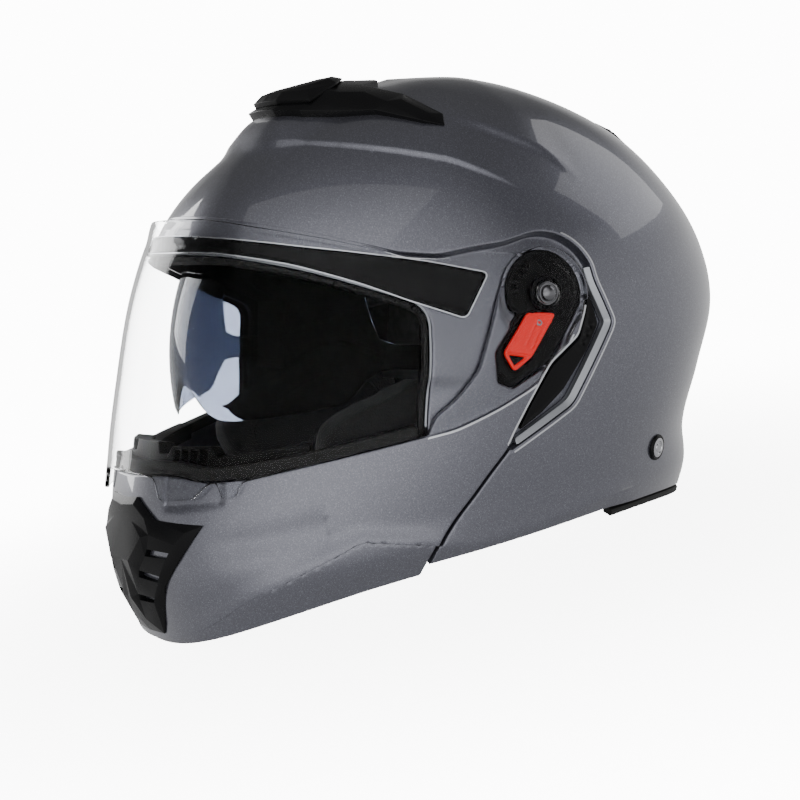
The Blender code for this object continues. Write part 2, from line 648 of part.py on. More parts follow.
def make_sun_visor():
    """A smoked lens that curves in both directions, with a flat arm back to each hub."""
    lens = [(x, float(sun_radius(x))) for x in np.linspace(-80, 80, 15)]
    arm = [(87, float(sun_radius(87))), (93, float(sun_radius(93))), (98, 62), (SUN_ARM_X, 48), (SUN_ARM_X, 28),
           (SUN_ARM_X, 6)]
    profile = [(-x, r) for x, r in arm[::-1]] + lens + arm
    rows = 6
    outer = [[] for _ in range(rows)]
    inner = [[] for _ in range(rows)]
    for index, (x, r) in enumerate(profile):
        before = profile[max(index - 1, 0)]
        after = profile[min(index + 1, len(profile) - 1)]
        along = Vector((after[0] - before[0], after[1] - before[1])).normalized()
        normal = Vector((-along.y, along.x))
        low, high = sun_span(x, r)
        for row in range(rows):
            angle = low + (high - low) * row / (rows - 1)
            outer[row].append(about_sun(x + normal.x, r + normal.y, angle))
            inner[row].append(about_sun(x - normal.x, r - normal.y, angle))
    visor = new_object("sun_visor", lofted("sun_visor", outer, inner, False, False), SMOKE)
    for side in (1, -1):
        name = side_name(side)
        join(visor, cylinder("sun_hub_" + name, (SUN_Y, SUN_Z), 8, SUN_ARM_X - 1.02, SUN_ARM_X + 1.02, side))
        cut(visor, cylinder("sun_hub_hole_" + name, (SUN_Y, SUN_Z), 3.3, 90, 110, side, segments=16))
    return visor


def sun_span(x, r):
    """The angles between which the sun visor stands at one place across it."""
    nose = 8.0 * math.exp(-((x / 17) ** 2))
    arm_half = math.degrees(6.0 / max(r, 8.0))
    narrow = float(smooth(66, 90, abs(x)))
    low = (-2 + nose) * (1 - narrow) + (14 - arm_half) * narrow
    high = 42 * (1 - narrow) + (14 + arm_half) * narrow
    return low, high


def make_sun_slider():
    return block("sun_visor_slider", (-109, 2, 13.6), (-102, 18, 18.4), BLACK_MATTE)


# ---------------------------------------------------------------- chin bar and visor

def pocket_floor(phi, points):
    """The visor lies in a pocket of the chin bar, deeper round the pivot where its lug turns."""
    lug = 1 - smooth(22, 27, from_pivot(points))
    return VISOR_POCKET + LUG_POCKET_EXTRA * lug - proud(phi, points)


def make_chin_bar():
    chin = layer("chin_bar", 0, CHIN_WALL, PAINT, phi=(-128, 128), v=(0.42, 1.0), columns=36, rows=10)
    keep_inside(chin, prism("chin_outline", CHIN, -FAR, FAR))
    pocket = layer("visor_pocket", -14, pocket_floor, phi=(-132, 132), v=(0.34, 0.92),
                   columns=32, rows=9)
    limit = prism("visor_pocket_limit", grown(VISOR, 0.8), -FAR, FAR)
    join(limit, prism("lug_sweep", arc(PIVOT, ARM_R + 0.4, 4, 349, 23), -FAR - 5, FAR + 5))
    keep_inside(pocket, limit)
    for side in (1, -1):
        name = side_name(side)
        join(chin, cylinder("arm_disc_" + name, PIVOT, ARM_R - 0.4, ARM_INNER_X, 119.6, side, segments=32))
    cut(chin, pocket)
    for side in (1, -1):
        name = side_name(side)
        hollow = layer("plate_pocket_" + name, -4, 5.8, phi=sorted((side * 62, side * 128)), v=(0.44, 0.84),
                       columns=8, rows=6)
        cut(chin, keep_inside(hollow, side_prism("plate_pocket_limit_" + name, grown(PLATE, 0.5), side)))
        cut(chin, cylinder("arm_hole_" + name, PIVOT, BOSS_R + GAP, 100, 130, side))
    cut(chin, block("chin_air_slot", (-13, -190, 29), (13, -140, 52)))
    return cut(chin, block("table_cut", (-FAR, -FAR, -20), (FAR, FAR, 0)))


def make_base_plate(side):
    name = side_name(side)
    plate = layer("base_plate_" + name, 4.2, 5.3, BLACK_GLOSS, phi=sorted((side * 62, side * 128)),
                  v=(0.44, 0.84), columns=8, rows=6)
    keep_inside(plate, side_prism("plate_outline_" + name, PLATE, side))
    return cut(plate, cylinder("plate_hole_" + name, PIVOT, BOSS_R + GAP, 100, 130, side))


def make_release_lever(side):
    name = side_name(side)
    lever = layer("release_lever_" + name, 2.2, 3.5, RED, phi=sorted((side * 62, side * 128)), v=(0.44, 0.84),
                  columns=8, rows=6)
    keep_inside(lever, side_prism("lever_outline_" + name, LEVER, side))
    slot = [(LEVER_SCREW[0] + a * 2.0 + LEVER_TRAVEL_AXIS[0] * b, LEVER_SCREW[1] + LEVER_TRAVEL_AXIS[1] * b)
            for a, b in ((-1, -6), (1, -6), (1, 3), (-1, 3))]
    return cut(lever, side_prism("lever_slot_" + name, slot, side))


def make_lever_screw(side):
    return cylinder("lever_screw_" + side_name(side), LEVER_SCREW, 1.2, 119.2, 121.2, side, STEEL, segments=12)


def make_visor():
    visor = layer("visor", lambda p, q: -proud(p, q), lambda p, q: VISOR_WALL - proud(p, q), CLEAR,
                  phi=(-128, 128), v=(0.36, 0.90), columns=34, rows=9)
    keep_inside(visor, prism("visor_outline", VISOR, -FAR, FAR))
    for side in (1, -1):
        cut(visor, cylinder("visor_hole_" + side_name(side), PIVOT, BOSS_R + 0.8, 100, 130, side))
    return visor


def make_visor_hub(side):
    return ring("visor_hub_" + side_name(side), PIVOT, 7.2, BOSS_R + GAP, 118.9, 119.9, side, BLACK_MATTE)


def make_visor_seal():
    lower = [(-157, 84.6), (-149.5, 84.6), (-140.7, 80.1), (-125, 79.1), (-105, 80.6), (-84, 81.6), (-53, 83)]
    upper = [(-53, 88.5), (-83, 87), (-104, 86), (-123, 85.5), (-139, 86), (-148, 91), (-157, 91)]
    seal = layer("visor_seal", 1.0, 8.0, RUBBER, phi=(-80, 80), v=(0.70, 0.90), columns=24, rows=6)
    return keep_inside(seal, prism("seal_outline", lower + upper, -FAR, FAR))


def make_breath_guard():
    guard = layer("breath_guard", 8.5, 20, BLACK_MATTE, phi=(-44, 44), v=(0.74, 0.90), columns=16, rows=6)
    outline = [(-160, 79.5), (-90, 81), (-90, 89), (-160, 93)]
    return keep_inside(guard, prism("guard_outline", outline, -FAR, FAR))


def make_chin_liner():
    return layer("chin_liner", 8.5, 20, FOAM, phi=(-50, 50), v=(0.853, 0.95), columns=16, rows=3)


def make_chin_vent():
    outline = CHIN_VENT_XZ + [(-x, z) for x, z in CHIN_VENT_XZ[-2:0:-1]]
    vent = layer("chin_vent", -5.6, -0.4, BLACK_GLOSS, phi=(-48, 48), v=(0.80, 0.995), columns=24, rows=8)
    keep_inside(vent, prism("chin_vent_outline", outline, -FAR, -90, "Y"))
    return cut(vent, block("vent_knob_slot", (-5.5, -190, 26), (5.5, -150, 44)))


def make_chin_shutter():
    shutter = layer("chin_vent_shutter", 6.0, 7.5, BLACK_MATTE, phi=(-30, 30), v=(0.86, 0.99),
                    columns=12, rows=4)
    keep_inside(shutter, prism("shutter_outline", [(-15, 24), (15, 24), (15, 40), (-15, 40)], -FAR, -130, "Y"))
    return join(shutter, block("shutter_knob", (-4.5, -170, 30), (4.5, -159, 34)))


def make_release_button():
    return block("release_button", (-14, -151, 3), (14, -141, 11), RED)


def make_latch_hook(side):
    name = side_name(side)
    outline = [(-84, 36), (-84, 44), (-78, 46), (-62, 42), (-57, 40), (-57, 38.9), (-60, 39.4), (-63.2, 38.6),
               (-63.6, 34), (-66, 33), (-76, 35)]
    hook = side_prism("latch_hook_" + name, outline, side, 90, 94.5, STEEL)
    return cut(hook, cylinder("hook_hole_" + name, LATCH_PIVOT, 2.0, 80, 100, side, segments=16))


def make_helmet():
    make_shell()
    make_port_gasket()
    make_brow_insert()
    make_rim_trim()
    make_liner()
    make_crown_pad()
    make_neck_roll()
    make_top_vent()
    make_top_vent_slider()
    make_rear_exhaust()
    make_buckle()
    make_sun_visor()
    make_sun_slider()
    make_chin_bar()
    make_visor_seal()
    make_breath_guard()
    make_chin_liner()
    make_chin_vent()
    make_chin_shutter()
    make_release_button()
    make_visor()
    for side in (1, -1):
        make_cheek_pad(side)
        make_side_trim(side)
        make_pivot_boss(side)
        make_pivot_screw(side)
        make_sun_post(side)
        make_latch_pin(side)
        make_strap_rivet(side)
        make_strap(side)
        make_base_plate(side)
        make_release_lever(side)
        make_lever_screw(side)
        make_visor_hub(side)
        make_latch_hook(side)


clear_scene()
PARTS = collection("flip_up_helmet")
CUTTERS = collection("cutters", hidden=True)
make_helmet()
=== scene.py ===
import math

import bmesh
import bpy
import numpy as np
from mathutils import Matrix, Vector


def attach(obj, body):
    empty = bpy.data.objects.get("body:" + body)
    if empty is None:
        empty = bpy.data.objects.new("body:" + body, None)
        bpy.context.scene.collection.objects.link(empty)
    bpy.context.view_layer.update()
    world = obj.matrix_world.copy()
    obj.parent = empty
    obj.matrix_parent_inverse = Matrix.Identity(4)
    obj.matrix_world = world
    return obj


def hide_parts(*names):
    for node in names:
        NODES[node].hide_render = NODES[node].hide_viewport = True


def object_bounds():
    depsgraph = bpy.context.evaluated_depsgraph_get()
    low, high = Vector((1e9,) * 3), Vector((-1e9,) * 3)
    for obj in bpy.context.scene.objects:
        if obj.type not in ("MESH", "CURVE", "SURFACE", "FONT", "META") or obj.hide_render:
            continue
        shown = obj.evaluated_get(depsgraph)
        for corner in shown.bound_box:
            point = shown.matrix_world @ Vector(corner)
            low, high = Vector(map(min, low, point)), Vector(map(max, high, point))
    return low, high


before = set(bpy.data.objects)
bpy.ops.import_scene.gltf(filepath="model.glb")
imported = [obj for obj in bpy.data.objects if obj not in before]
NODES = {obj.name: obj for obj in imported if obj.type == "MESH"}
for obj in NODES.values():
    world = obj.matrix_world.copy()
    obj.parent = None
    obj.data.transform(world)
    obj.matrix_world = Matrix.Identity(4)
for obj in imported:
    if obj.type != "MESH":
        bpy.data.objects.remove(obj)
cad_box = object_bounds()
MM = 0.001
FINE = 1.0

# ------------------------------------------------------------------ the CAD's surface, repeated
LEVELS = [0, 0.10, 0.22, 0.34, 0.46, 0.58, 0.70, 0.80, 0.90, 0.96, 1.0]
FRONT_YZ = [(25, 246), (-5, 244), (-38, 236), (-72, 221), (-102, 200), (-124, 167), (-142, 124),
            (-154, 92), (-164, 57), (-166, 27), (-160, -1.5)]
SIDE_XYZ = [(0, 25, 246), (36, 25, 240), (72, 24, 222), (98, 21, 196), (115, 18, 166), (122, 15, 135),
            (124, 11, 103), (122, 7, 72), (118, 0, 44), (115, -8, 29), (110, -12, 17)]
REAR_YZ = [(25, 246), (62, 239), (100, 221), (135, 194), (158, 161), (170.6, 129), (170, 97),
           (155, 71), (140, 42), (138, 18), (130, 0.2)]
PLAN_SQUARENESS = 0.86
FRONT_FULLNESS = 1.04
REAR_FULLNESS = 0.92
PIVOT = (24.0, 134.0)
ARM_R = 23.0
RECESS_DEPTH = 6.0
SHELL_WALL = 4.5
CHIN_WALL = 4.6
VISOR_WALL = 2.2
VISOR_PROUD = 4.0
VISOR_SIDE_PROUD = 1.6
VISOR_CORNER_PROUD = 3.0
VISOR_POCKET = 3.0
LUG_POCKET_EXTRA = 2.5
SUN_Y, SUN_Z = 10.0, 105.0
SUN_R = 129.0
SUN_HALF_WIDTH = 112.0
SUN_ARM_X = 100.5
FAR = 190.0

PORT_TOP = [(-FAR, 187), (-115, 183.5), (-106, 181), (-81, 168.5), (-57, 154), (-34, 140)]
PORT = PORT_TOP + [(-39.5, 116), (-47, 90), (-56, 40), (-60, 10), (-62, -12), (-FAR, -12)]
SEAM = [(-12, 67), (-23, 58), (-33, 49), (-43, 40.5), (-52, 31.5), (-58, 22), (-61.5, 16), (-68, 0), (-73, -12)]
ARM_REAR = [(43.3, 121.5), (36.2, 110.4), (18.5, 101.5), (12.6, 95.7), (2.4, 84.8), (-6.5, 74.4)]
ARM_FRONT = [(-49, 82.5), (-44, 90), (-34, 95), (-27.5, 99.5), (-19, 106.5), (-9.4, 123), (-1.4, 137)]
CHIN_TOP = [(-FAR, 84), (-150, 84), (-141, 79.5), (-125, 78.5), (-105, 80), (-84, 81)]
RECESS_TOP = [(-FAR, 222), (-106, 203), (-90, 194), (-64, 181), (-40, 168), (-23, 163), (-6, 163), (8, 162)]
RECESS_REAR = [(52.5, 134), (57.8, 113), (56, 110), (27, 79), (-11, 65.5)]
VISOR_TOP = [(-FAR, 218), (-106, 200), (-90, 191.5), (-64, 179), (-40, 166), (-23, 161), (-6, 161)]
VISOR_BOTTOM = [(35.5, 117), (19.2, 100), (4.3, 93.5), (-12.5, 88.5), (-23.5, 86), (-36, 83.5), (-80, 82.5),
                (-105, 81), (-131, 78.2), (-133, 72), (-FAR, 72)]
BROW = [(-FAR, 200), (-115, 194), (-106, 190), (-77, 178.5), (-40, 165), (-24, 159), (-1.5, 149.5),
        (-18, 131.5), (-42, 145.5), (-61, 158), (-84, 172), (-106, 182.5), (-115, 185), (-FAR, 189)]
WEDGE = [(48.6, 130), (50.4, 113), (41, 102.4), (24, 87), (10, 79), (-3.5, 73.5), (5, 84), (15.5, 95),
         (21, 100), (38.3, 109), (45.2, 120.5)]
PLATE_LOWER = [(7.1, 128), (-9, 113), (-10.9, 99), (-3.8, 94.7), (18, 101.8), (31, 114)]
LEVER = [(12, 127.5), (26.5, 123.5), (9.1, 106.6), (-1.5, 101.8), (-4.9, 111.7)]


def smooth(low, high, value):
    t = np.clip((value - low) / (high - low), 0, 1)
    return t * t * (3 - 2 * t)


def through(values, v):
    x = np.array(LEVELS, float)
    y = np.array(values, float)
    steps = np.diff(x)
    slopes = np.diff(y) / steps
    tangents = np.empty(len(x))
    tangents[0] = slopes[0]
    tangents[-1] = slopes[-1]
    tangents[1:-1] = (slopes[:-1] * steps[1:] + slopes[1:] * steps[:-1]) / (steps[1:] + steps[:-1])
    i = np.clip(np.searchsorted(x, v, side="right") - 1, 0, len(steps) - 1)
    u = (v - x[i]) / steps[i]
    ahead = 3 * u**2 - 2 * u**3
    bends = tangents[i] * (u**3 - 2 * u**2 + u) + tangents[i + 1] * (u**3 - u**2)
    return y[i] * (1 - ahead) + y[i + 1] * ahead + steps[i] * bends


def skin(phi, v):
    sine = np.sin(phi)
    cosine = np.cos(phi)
    reach = np.abs(cosine)
    side_x, side_y, side_z = (through([p[k] for p in SIDE_XYZ], v) for k in range(3))
    front_y, front_z = (through([p[k] for p in FRONT_YZ], v) for k in range(2))
    rear_y, rear_z = (through([p[k] for p in REAR_YZ], v) for k in range(2))
    ahead = cosine > 0
    x = side_x * np.sign(sine) * np.abs(sine) ** PLAN_SQUARENESS
    y = np.where(ahead, side_y + (front_y - side_y) * reach**FRONT_FULLNESS,
                 side_y + (rear_y - side_y) * reach**REAR_FULLNESS)
    z = side_z + (np.where(ahead, front_z, rear_z) - side_z) * reach**3
    return np.stack([x, y, z], -1)


def skin_and_normals(phi, v):
    e = 0.004
    inner = np.clip(v, 2 * e, 1 - e)
    across = skin(phi + e, inner) - skin(phi - e, inner)
    down = skin(phi, inner + e) - skin(phi, inner - e)
    normal = np.cross(down, across)
    normal /= np.linalg.norm(normal, axis=-1, keepdims=True)
    return skin(phi, v), normal


def sideways(phi):
    return smooth(math.radians(48), math.radians(80), np.abs(phi))


def from_pivot(p):
    return np.hypot(p[..., 1] - PIVOT[0], p[..., 2] - PIVOT[1])


def proud(phi, p):
    ridge = 2.0 * smooth(186, 196, p[..., 2])
    side = sideways(phi)
    corner = VISOR_CORNER_PROUD * smooth(144, 160, p[..., 2]) * smooth(24, 38, from_pivot(p))
    return (VISOR_PROUD + ridge) * (1 - side) + (VISOR_SIDE_PROUD + corner) * side


def recess_floor(phi, p):
    low = 1 - smooth(100, 125, p[..., 2])
    return 0.3 + (RECESS_DEPTH - 0.3) * np.maximum(sideways(phi), low)


# ------------------------------------------------------------------ outlines
def fillet(points, radius, steps=6):
    """The outline with each corner replaced by a short curve. A point may carry its own radius."""
    result = []
    count = len(points)
    for index, entry in enumerate(points):
        own = entry[2] if len(entry) > 2 else radius
        corner = Vector(entry[:2])
        before = Vector(points[index - 1][:2]) - corner
        after = Vector(points[(index + 1) % count][:2]) - corner
        reach = min(own, before.length * 0.48, after.length * 0.48)
        start = corner + before.normalized() * reach
        end = corner + after.normalized() * reach
        for step in range(steps + 1):
            t = step / steps
            point = start * (1 - t) ** 2 + corner * (2 * t * (1 - t)) + end * t**2
            result.append((point.x, point.y))
    return result


def arc(centre, radius, start, end, steps):
    angles = [math.radians(start + (end - start) * i / steps) for i in range(steps + 1)]
    return [(centre[0] + radius * math.cos(a), centre[1] + radius * math.sin(a)) for a in angles]


def to_segments(points, outline, closed=True):
    """Distance from each point to the outline, and whether it lies inside."""
    a = np.array(outline, float)
    b = np.roll(a, -1, 0)
    if not closed:
        a, b = a[:-1], b[:-1]
    best = np.full(len(points), 1e18)
    inside = np.zeros(len(points), bool)
    for (ax, ay), (bx, by) in zip(a, b):
        dx, dy = bx - ax, by - ay
        size = dx * dx + dy * dy
        if size < 1e-12:
            continue
        t = np.clip(((points[:, 0] - ax) * dx + (points[:, 1] - ay) * dy) / size, 0, 1)
        gap = (points[:, 0] - ax - t * dx) ** 2 + (points[:, 1] - ay - t * dy) ** 2
        best = np.minimum(best, gap)
        crosses = (ay > points[:, 1]) != (by > points[:, 1])
        if dy:
            inside ^= crosses & (points[:, 0] < ax + (points[:, 1] - ay) / dy * dx)
    return np.sqrt(best), inside


class Outline:
    """Signed distance to a closed outline, positive inside, read from a fine table."""

    PITCH = 0.5
    MARGIN = 14

    def __init__(self, outline, plane="side"):
        self.plane = plane
        pts = np.array(outline, float)
        self.low = pts.min(0) - self.MARGIN
        size = ((pts.max(0) + self.MARGIN - self.low) / self.PITCH).astype(int) + 2
        axes = [self.low[k] + self.PITCH * np.arange(size[k]) for k in range(2)]
        grid = np.stack(np.meshgrid(*axes, indexing="ij"), -1).reshape(-1, 2)
        gap, inside = to_segments(grid, outline)
        self.table = np.where(inside, gap, -gap).reshape(size)

    def at(self, a, b):
        fa = np.clip((a - self.low[0]) / self.PITCH, 0, self.table.shape[0] - 1.001)
        fb = np.clip((b - self.low[1]) / self.PITCH, 0, self.table.shape[1] - 1.001)
        ia, ib = fa.astype(int), fb.astype(int)
        ta, tb = fa - ia, fb - ib
        t = self.table
        return ((t[ia, ib] * (1 - ta) + t[ia + 1, ib] * ta) * (1 - tb)
                + (t[ia, ib + 1] * (1 - ta) + t[ia + 1, ib + 1] * ta) * tb)

    def __call__(self, p):
        if self.plane == "side":
            return self.at(p[..., 1], p[..., 2])
        if self.plane == "front":
            return self.at(np.abs(p[..., 0]), p[..., 2])
        return self.at(np.abs(p[..., 0]), p[..., 1])


# ------------------------------------------------------------------ fine sheets over the surface
def snap(uv, field, within):
    """Slides the points that lie close to where the field is zero onto that line."""
    f = field(uv)
    near = np.abs(f) < within
    if within and near.any():
        here = uv[near]
        e = 1e-4
        g = np.stack([(field(here + [e, 0]) - f[near]) / e, (field(here + [0, e]) - f[near]) / e], -1)
        size = (g**2).sum(-1)
        good = size > 1e-9
        step = np.zeros_like(here)
        step[good] = f[near][good, None] * g[good] / size[good, None]
        limit = np.array([0.03, 0.02])
        uv = uv.copy()
        uv[near] = here - np.clip(step, -limit, limit)
        f = field(uv)
        f[near & (np.abs(f) < within * 0.2)] = 0.0
    return uv, f


def split(uv, tris, field, within=0.05, drop=False):
    """Puts edges along the line where the field is zero. drop removes what lies on its negative side."""
    uv, f = snap(uv, field, within)
    side = f >= 0
    marks = side[tris]
    count = marks.sum(1)
    mixed = (count == 1) | (count == 2)
    t3 = tris[mixed]
    m3 = marks[mixed]
    one = m3.sum(1) == 1
    lone = np.where(one, m3.argmax(1), (~m3).argmax(1))
    t3 = np.take_along_axis(t3, (lone[:, None] + np.arange(3)) % 3, 1)
    edges = np.concatenate([t3[:, [0, 1]], t3[:, [0, 2]]])
    unique, back = np.unique(np.sort(edges, 1), axis=0, return_inverse=True)
    back = back.reshape(-1)
    i, j = unique[:, 0], unique[:, 1]
    fi, fj = f[i], f[j]
    t = fi / np.where(fi == fj, 1, fi - fj)
    for _ in range(2):
        fm = field(uv[i] + (uv[j] - uv[i]) * t[:, None])
        same = (fm >= 0) == (fi >= 0)
        t = np.where(same, t + (1 - t) * fm / np.where(fm == fj, 1, fm - fj),
                     t * fi / np.where(fi == fm, 1, fi - fm))
        t = np.clip(t, 0, 1)
    fresh = np.arange(len(unique)) + len(uv)
    index = np.where(t < 0.02, i, np.where(t > 0.98, j, fresh))
    index = np.where((fi == 0), i, np.where((fj == 0), j, index))
    uv = np.vstack([uv, uv[i] + (uv[j] - uv[i]) * t[:, None]])
    n = len(t3)
    ab, ac = index[back[:n]], index[back[n:]]
    tip = np.stack([t3[:, 0], ab, ac], 1)
    rest1 = np.stack([ab, t3[:, 1], t3[:, 2]], 1)
    rest2 = np.stack([ab, t3[:, 2], ac], 1)
    if drop:
        made = [tris[count == 3], tip[one], rest1[~one], rest2[~one]]
    else:
        made = [tris[~mixed], tip, rest1, rest2]
    tris = np.vstack(made)
    whole = (tris[:, 0] != tris[:, 1]) & (tris[:, 1] != tris[:, 2]) & (tris[:, 0] != tris[:, 2])
    return uv, tris[whole]


def patch(phi, v, pitch):
    """A triangle grid over a span of the surface, its points about the pitch apart, in millimetres."""
    pitch = pitch / FINE
    columns = max(4, int(math.radians(phi[1] - phi[0]) * 140 / pitch))
    rows = max(4, int((v[1] - v[0]) * 330 / pitch))
    columns += columns % 2
    a = np.radians(np.linspace(phi[0], phi[1], columns + 1))
    b = np.linspace(v[0], v[1], rows + 1)
    uv = np.stack(np.meshgrid(b, a, indexing="ij")[::-1], -1).reshape(-1, 2)
    k = np.arange(rows * (columns + 1)).reshape(rows, columns + 1)[:, :-1].ravel()
    up = columns + 1
    even = ((k % up + k // up) % 2 == 0)[:, None]
    first = np.where(even, np.stack([k, k + 1, k + up + 1], 1), np.stack([k, k + 1, k + up], 1))
    second = np.where(even, np.stack([k, k + up + 1, k + up], 1), np.stack([k + 1, k + up + 1, k + up], 1))
    return uv, np.vstack([first, second])


def depth_at(uv, depth):
    p, n = skin_and_normals(uv[:, 0], uv[:, 1])
    amount = depth(uv[:, 0], p) if callable(depth) else np.full(len(uv), float(depth))
    return p - n * amount[:, None]


def surface_gap(field, base):
    """Turns a flat outline's distance into the distance along the surface, near the outline."""
    def gap(uv):
        p = depth_at(uv, base)
        f = field(p)
        e = 2e-3
        pu = depth_at(uv + [e, 0], base)
        pv = depth_at(uv + [0, e], base)
        gu = (field(pu) - f) / np.maximum(np.linalg.norm(pu - p, axis=1), 1e-6)
        gv = (field(pv) - f) / np.maximum(np.linalg.norm(pv - p, axis=1), 1e-6)
        return f / np.clip(np.hypot(gu, gv), 0.25, 1.2)
    return gap


def bend_over(gap, radius):
    """How far a rounded edge falls below the face, at a distance in from the edge."""
    rest = np.clip(radius - gap, 0, radius)
    return radius - np.sqrt(np.maximum(radius**2 - rest**2, 0))


def weld(points, tris):
    _, first, back = np.unique(np.round(points / 2e-3).astype(np.int64), axis=0, return_index=True,
                               return_inverse=True)
    tris = back.reshape(-1)[tris]
    whole = (tris[:, 0] != tris[:, 1]) & (tris[:, 1] != tris[:, 2]) & (tris[:, 0] != tris[:, 2])
    return first, tris[whole]


def closed_body(outer, inner, tris):
    """Outer and inner faces with walls round every free edge."""
    n = len(outer)
    ends = np.vstack([tris[:, [0, 1]], tris[:, [1, 2]], tris[:, [2, 0]]])
    keys = ends[:, 0].astype(np.int64) * n + ends[:, 1]
    other = ends[:, 1].astype(np.int64) * n + ends[:, 0]
    free = ends[~np.isin(keys, other)]
    a, b = free[:, 0], free[:, 1]
    walls = np.vstack([np.stack([b, a, a + n], 1), np.stack([b, a + n, b + n], 1)])
    points = np.vstack([outer, inner])
    faces = np.vstack([tris, tris[:, ::-1] + n, walls])
    used = np.unique(faces)
    order = np.full(len(points), -1)
    order[used] = np.arange(len(used))
    points, faces = points[used], order[faces]
    volume = np.einsum("ij,ij->i", points[faces[:, 0]], np.cross(points[faces[:, 1]], points[faces[:, 2]])).sum()
    return points, faces if volume > 0 else faces[:, ::-1]


def to_object(name, points, tris, mat, sharp=40):
    mesh = bpy.data.meshes.new(name)
    mesh.vertices.add(len(points))
    mesh.vertices.foreach_set("co", (np.asarray(points, float) * MM).astype(np.float32).ravel())
    mesh.loops.add(3 * len(tris))
    mesh.loops.foreach_set("vertex_index", np.asarray(tris, np.int32).ravel())
    mesh.polygons.add(len(tris))
    mesh.polygons.foreach_set("loop_start", np.arange(0, 3 * len(tris), 3, dtype=np.int32))
    mesh.polygons.foreach_set("loop_total", np.full(len(tris), 3, np.int32))
    mesh.update(calc_edges=True)
    mesh.validate()
    mesh.shade_smooth()
    mesh.set_sharp_from_angle(angle=math.radians(sharp))
    obj = bpy.data.objects.new(name, mesh)
    bpy.context.scene.collection.objects.link(obj)
    mesh.materials.append(mat)
    return obj


def shaped(name, mat, field, base, thickness, phi, v, pitch=1.8, edge=0.8, extra=(), relief=None,
           inner_edge=0.0, first_lines=(), sharp=40):
    """A body cut out of the space along the surface.

    base is the outer face's depth, thickness a number or a function, and edge the outer rim's radius.
    extra lists further lines, as (field, levels), that get their own edges, and relief(phi, p, gap) is
    added to the outer depth.
    """
    uv, tris = patch(phi, v, pitch)
    gap = surface_gap(field, base) if field is not None else None
    for line in first_lines:
        uv, tris = split(uv, tris, line, within=0.3 * pitch)
    if gap is not None:
        uv, tris = split(uv, tris, gap, within=0.0 if first_lines else 0.3 * pitch, drop=True)
        for share in (0.15, 0.5, 1.0):
            if edge:
                uv, tris = split(uv, tris, lambda q, s=share: gap(q) - s * edge)
    for line, levels in extra:
        for level in levels:
            uv, tris = split(uv, tris, lambda q, g=line, s=level: g(q) - s)
    p, n = skin_and_normals(uv[:, 0], uv[:, 1])
    depth = base(uv[:, 0], p) if callable(base) else np.full(len(uv), float(base))
    wall = thickness(uv[:, 0], p) if callable(thickness) else np.full(len(uv), float(thickness))
    reach = gap(uv) if gap is not None else np.full(len(uv), 99.0)
    outer_depth = depth.copy()
    if relief is not None:
        outer_depth = outer_depth + relief(uv, p, reach)
    if edge:
        outer_depth = outer_depth + bend_over(np.maximum(reach, 0), edge)
    inner_depth = depth + wall
    if inner_edge:
        inner_depth = inner_depth - bend_over(np.maximum(reach, 0), inner_edge)
    outer = p - n * outer_depth[:, None]
    inner = p - n * inner_depth[:, None]
    first, tris = weld(outer, tris)
    outer, inner = outer[first], inner[first]
    points, faces = closed_body(outer, inner, tris)
    return to_object(name, points, faces, mat, sharp)


def place(obj, body, slot, *nodes):
    if nodes:
        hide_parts(*nodes)
    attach(obj, body)
    return obj


# ------------------------------------------------------------------ the outlines as distance fields
CHIN = CHIN_TOP + ARM_FRONT + arc(PIVOT, ARM_R, 155, -12, 18) + ARM_REAR + SEAM + [(-FAR, -12)]
RECESS = RECESS_TOP + arc(PIVOT, ARM_R + 6.3, 100, 15, 12) + RECESS_REAR + [
    (y + 1.4, z - 0.4) for y, z in SEAM] + [(-FAR, -12)]
VISOR = VISOR_TOP + arc(PIVOT, ARM_R - 0.5, 110, -30, 16) + VISOR_BOTTOM[:-2] + [(-133, 72), (-FAR, 72)]
PLATE = arc(PIVOT, 20.5, 190, -25, 24) + PLATE_LOWER[::-1]
VISOR_FRONT = [(-1, 86), (22, 85.6, 2), (33, 84), (38, 73.6), (57, 73.2), (62.5, 79), (67, 80), (74, 60),
               (200, 60), (200, 300), (-1, 300)]

port_side = Outline(fillet(PORT, 9))
chin_side = Outline(fillet(CHIN, 3))
recess_side = Outline(fillet(RECESS, 4))
visor_side = Outline(fillet(VISOR, 4))
visor_front = Outline(fillet(VISOR_FRONT, 3), "front")
brow_side = Outline(fillet(BROW, 3))
wedge_side = Outline(fillet(WEDGE, 1.6))
plate_side = Outline(fillet(PLATE, 1.2))
lever_side = Outline(fillet(LEVER, 2.2))


# ------------------------------------------------------------------ materials
def material(name, colour, roughness, metallic=0.0, **sockets):
    made = bpy.data.materials.new(name)
    made.use_nodes = True
    shader = made.node_tree.nodes["Principled BSDF"]
    shader.inputs["Base Color"].default_value = (*colour, 1)
    shader.inputs["Roughness"].default_value = roughness
    shader.inputs["Metallic"].default_value = metallic
    for key, value in sockets.items():
        shader.inputs[key.replace("_", " ")].default_value = value
    return made


def node(mat, kind, **values):
    made = mat.node_tree.nodes.new(kind)
    for key, value in values.items():
        if hasattr(made, key):
            setattr(made, key, value)
        else:
            made.inputs[key.replace("_", " ")].default_value = value
    return made


def link(mat, out, into):
    mat.node_tree.links.new(out, into)


def where(mat, scale=(1, 1, 1)):
    place_in = node(mat, "ShaderNodeTexCoord")
    mapping = node(mat, "ShaderNodeMapping")
    mapping.inputs["Scale"].default_value = scale
    link(mat, place_in.outputs["Object"], mapping.inputs["Vector"])
    return mapping.outputs["Vector"]


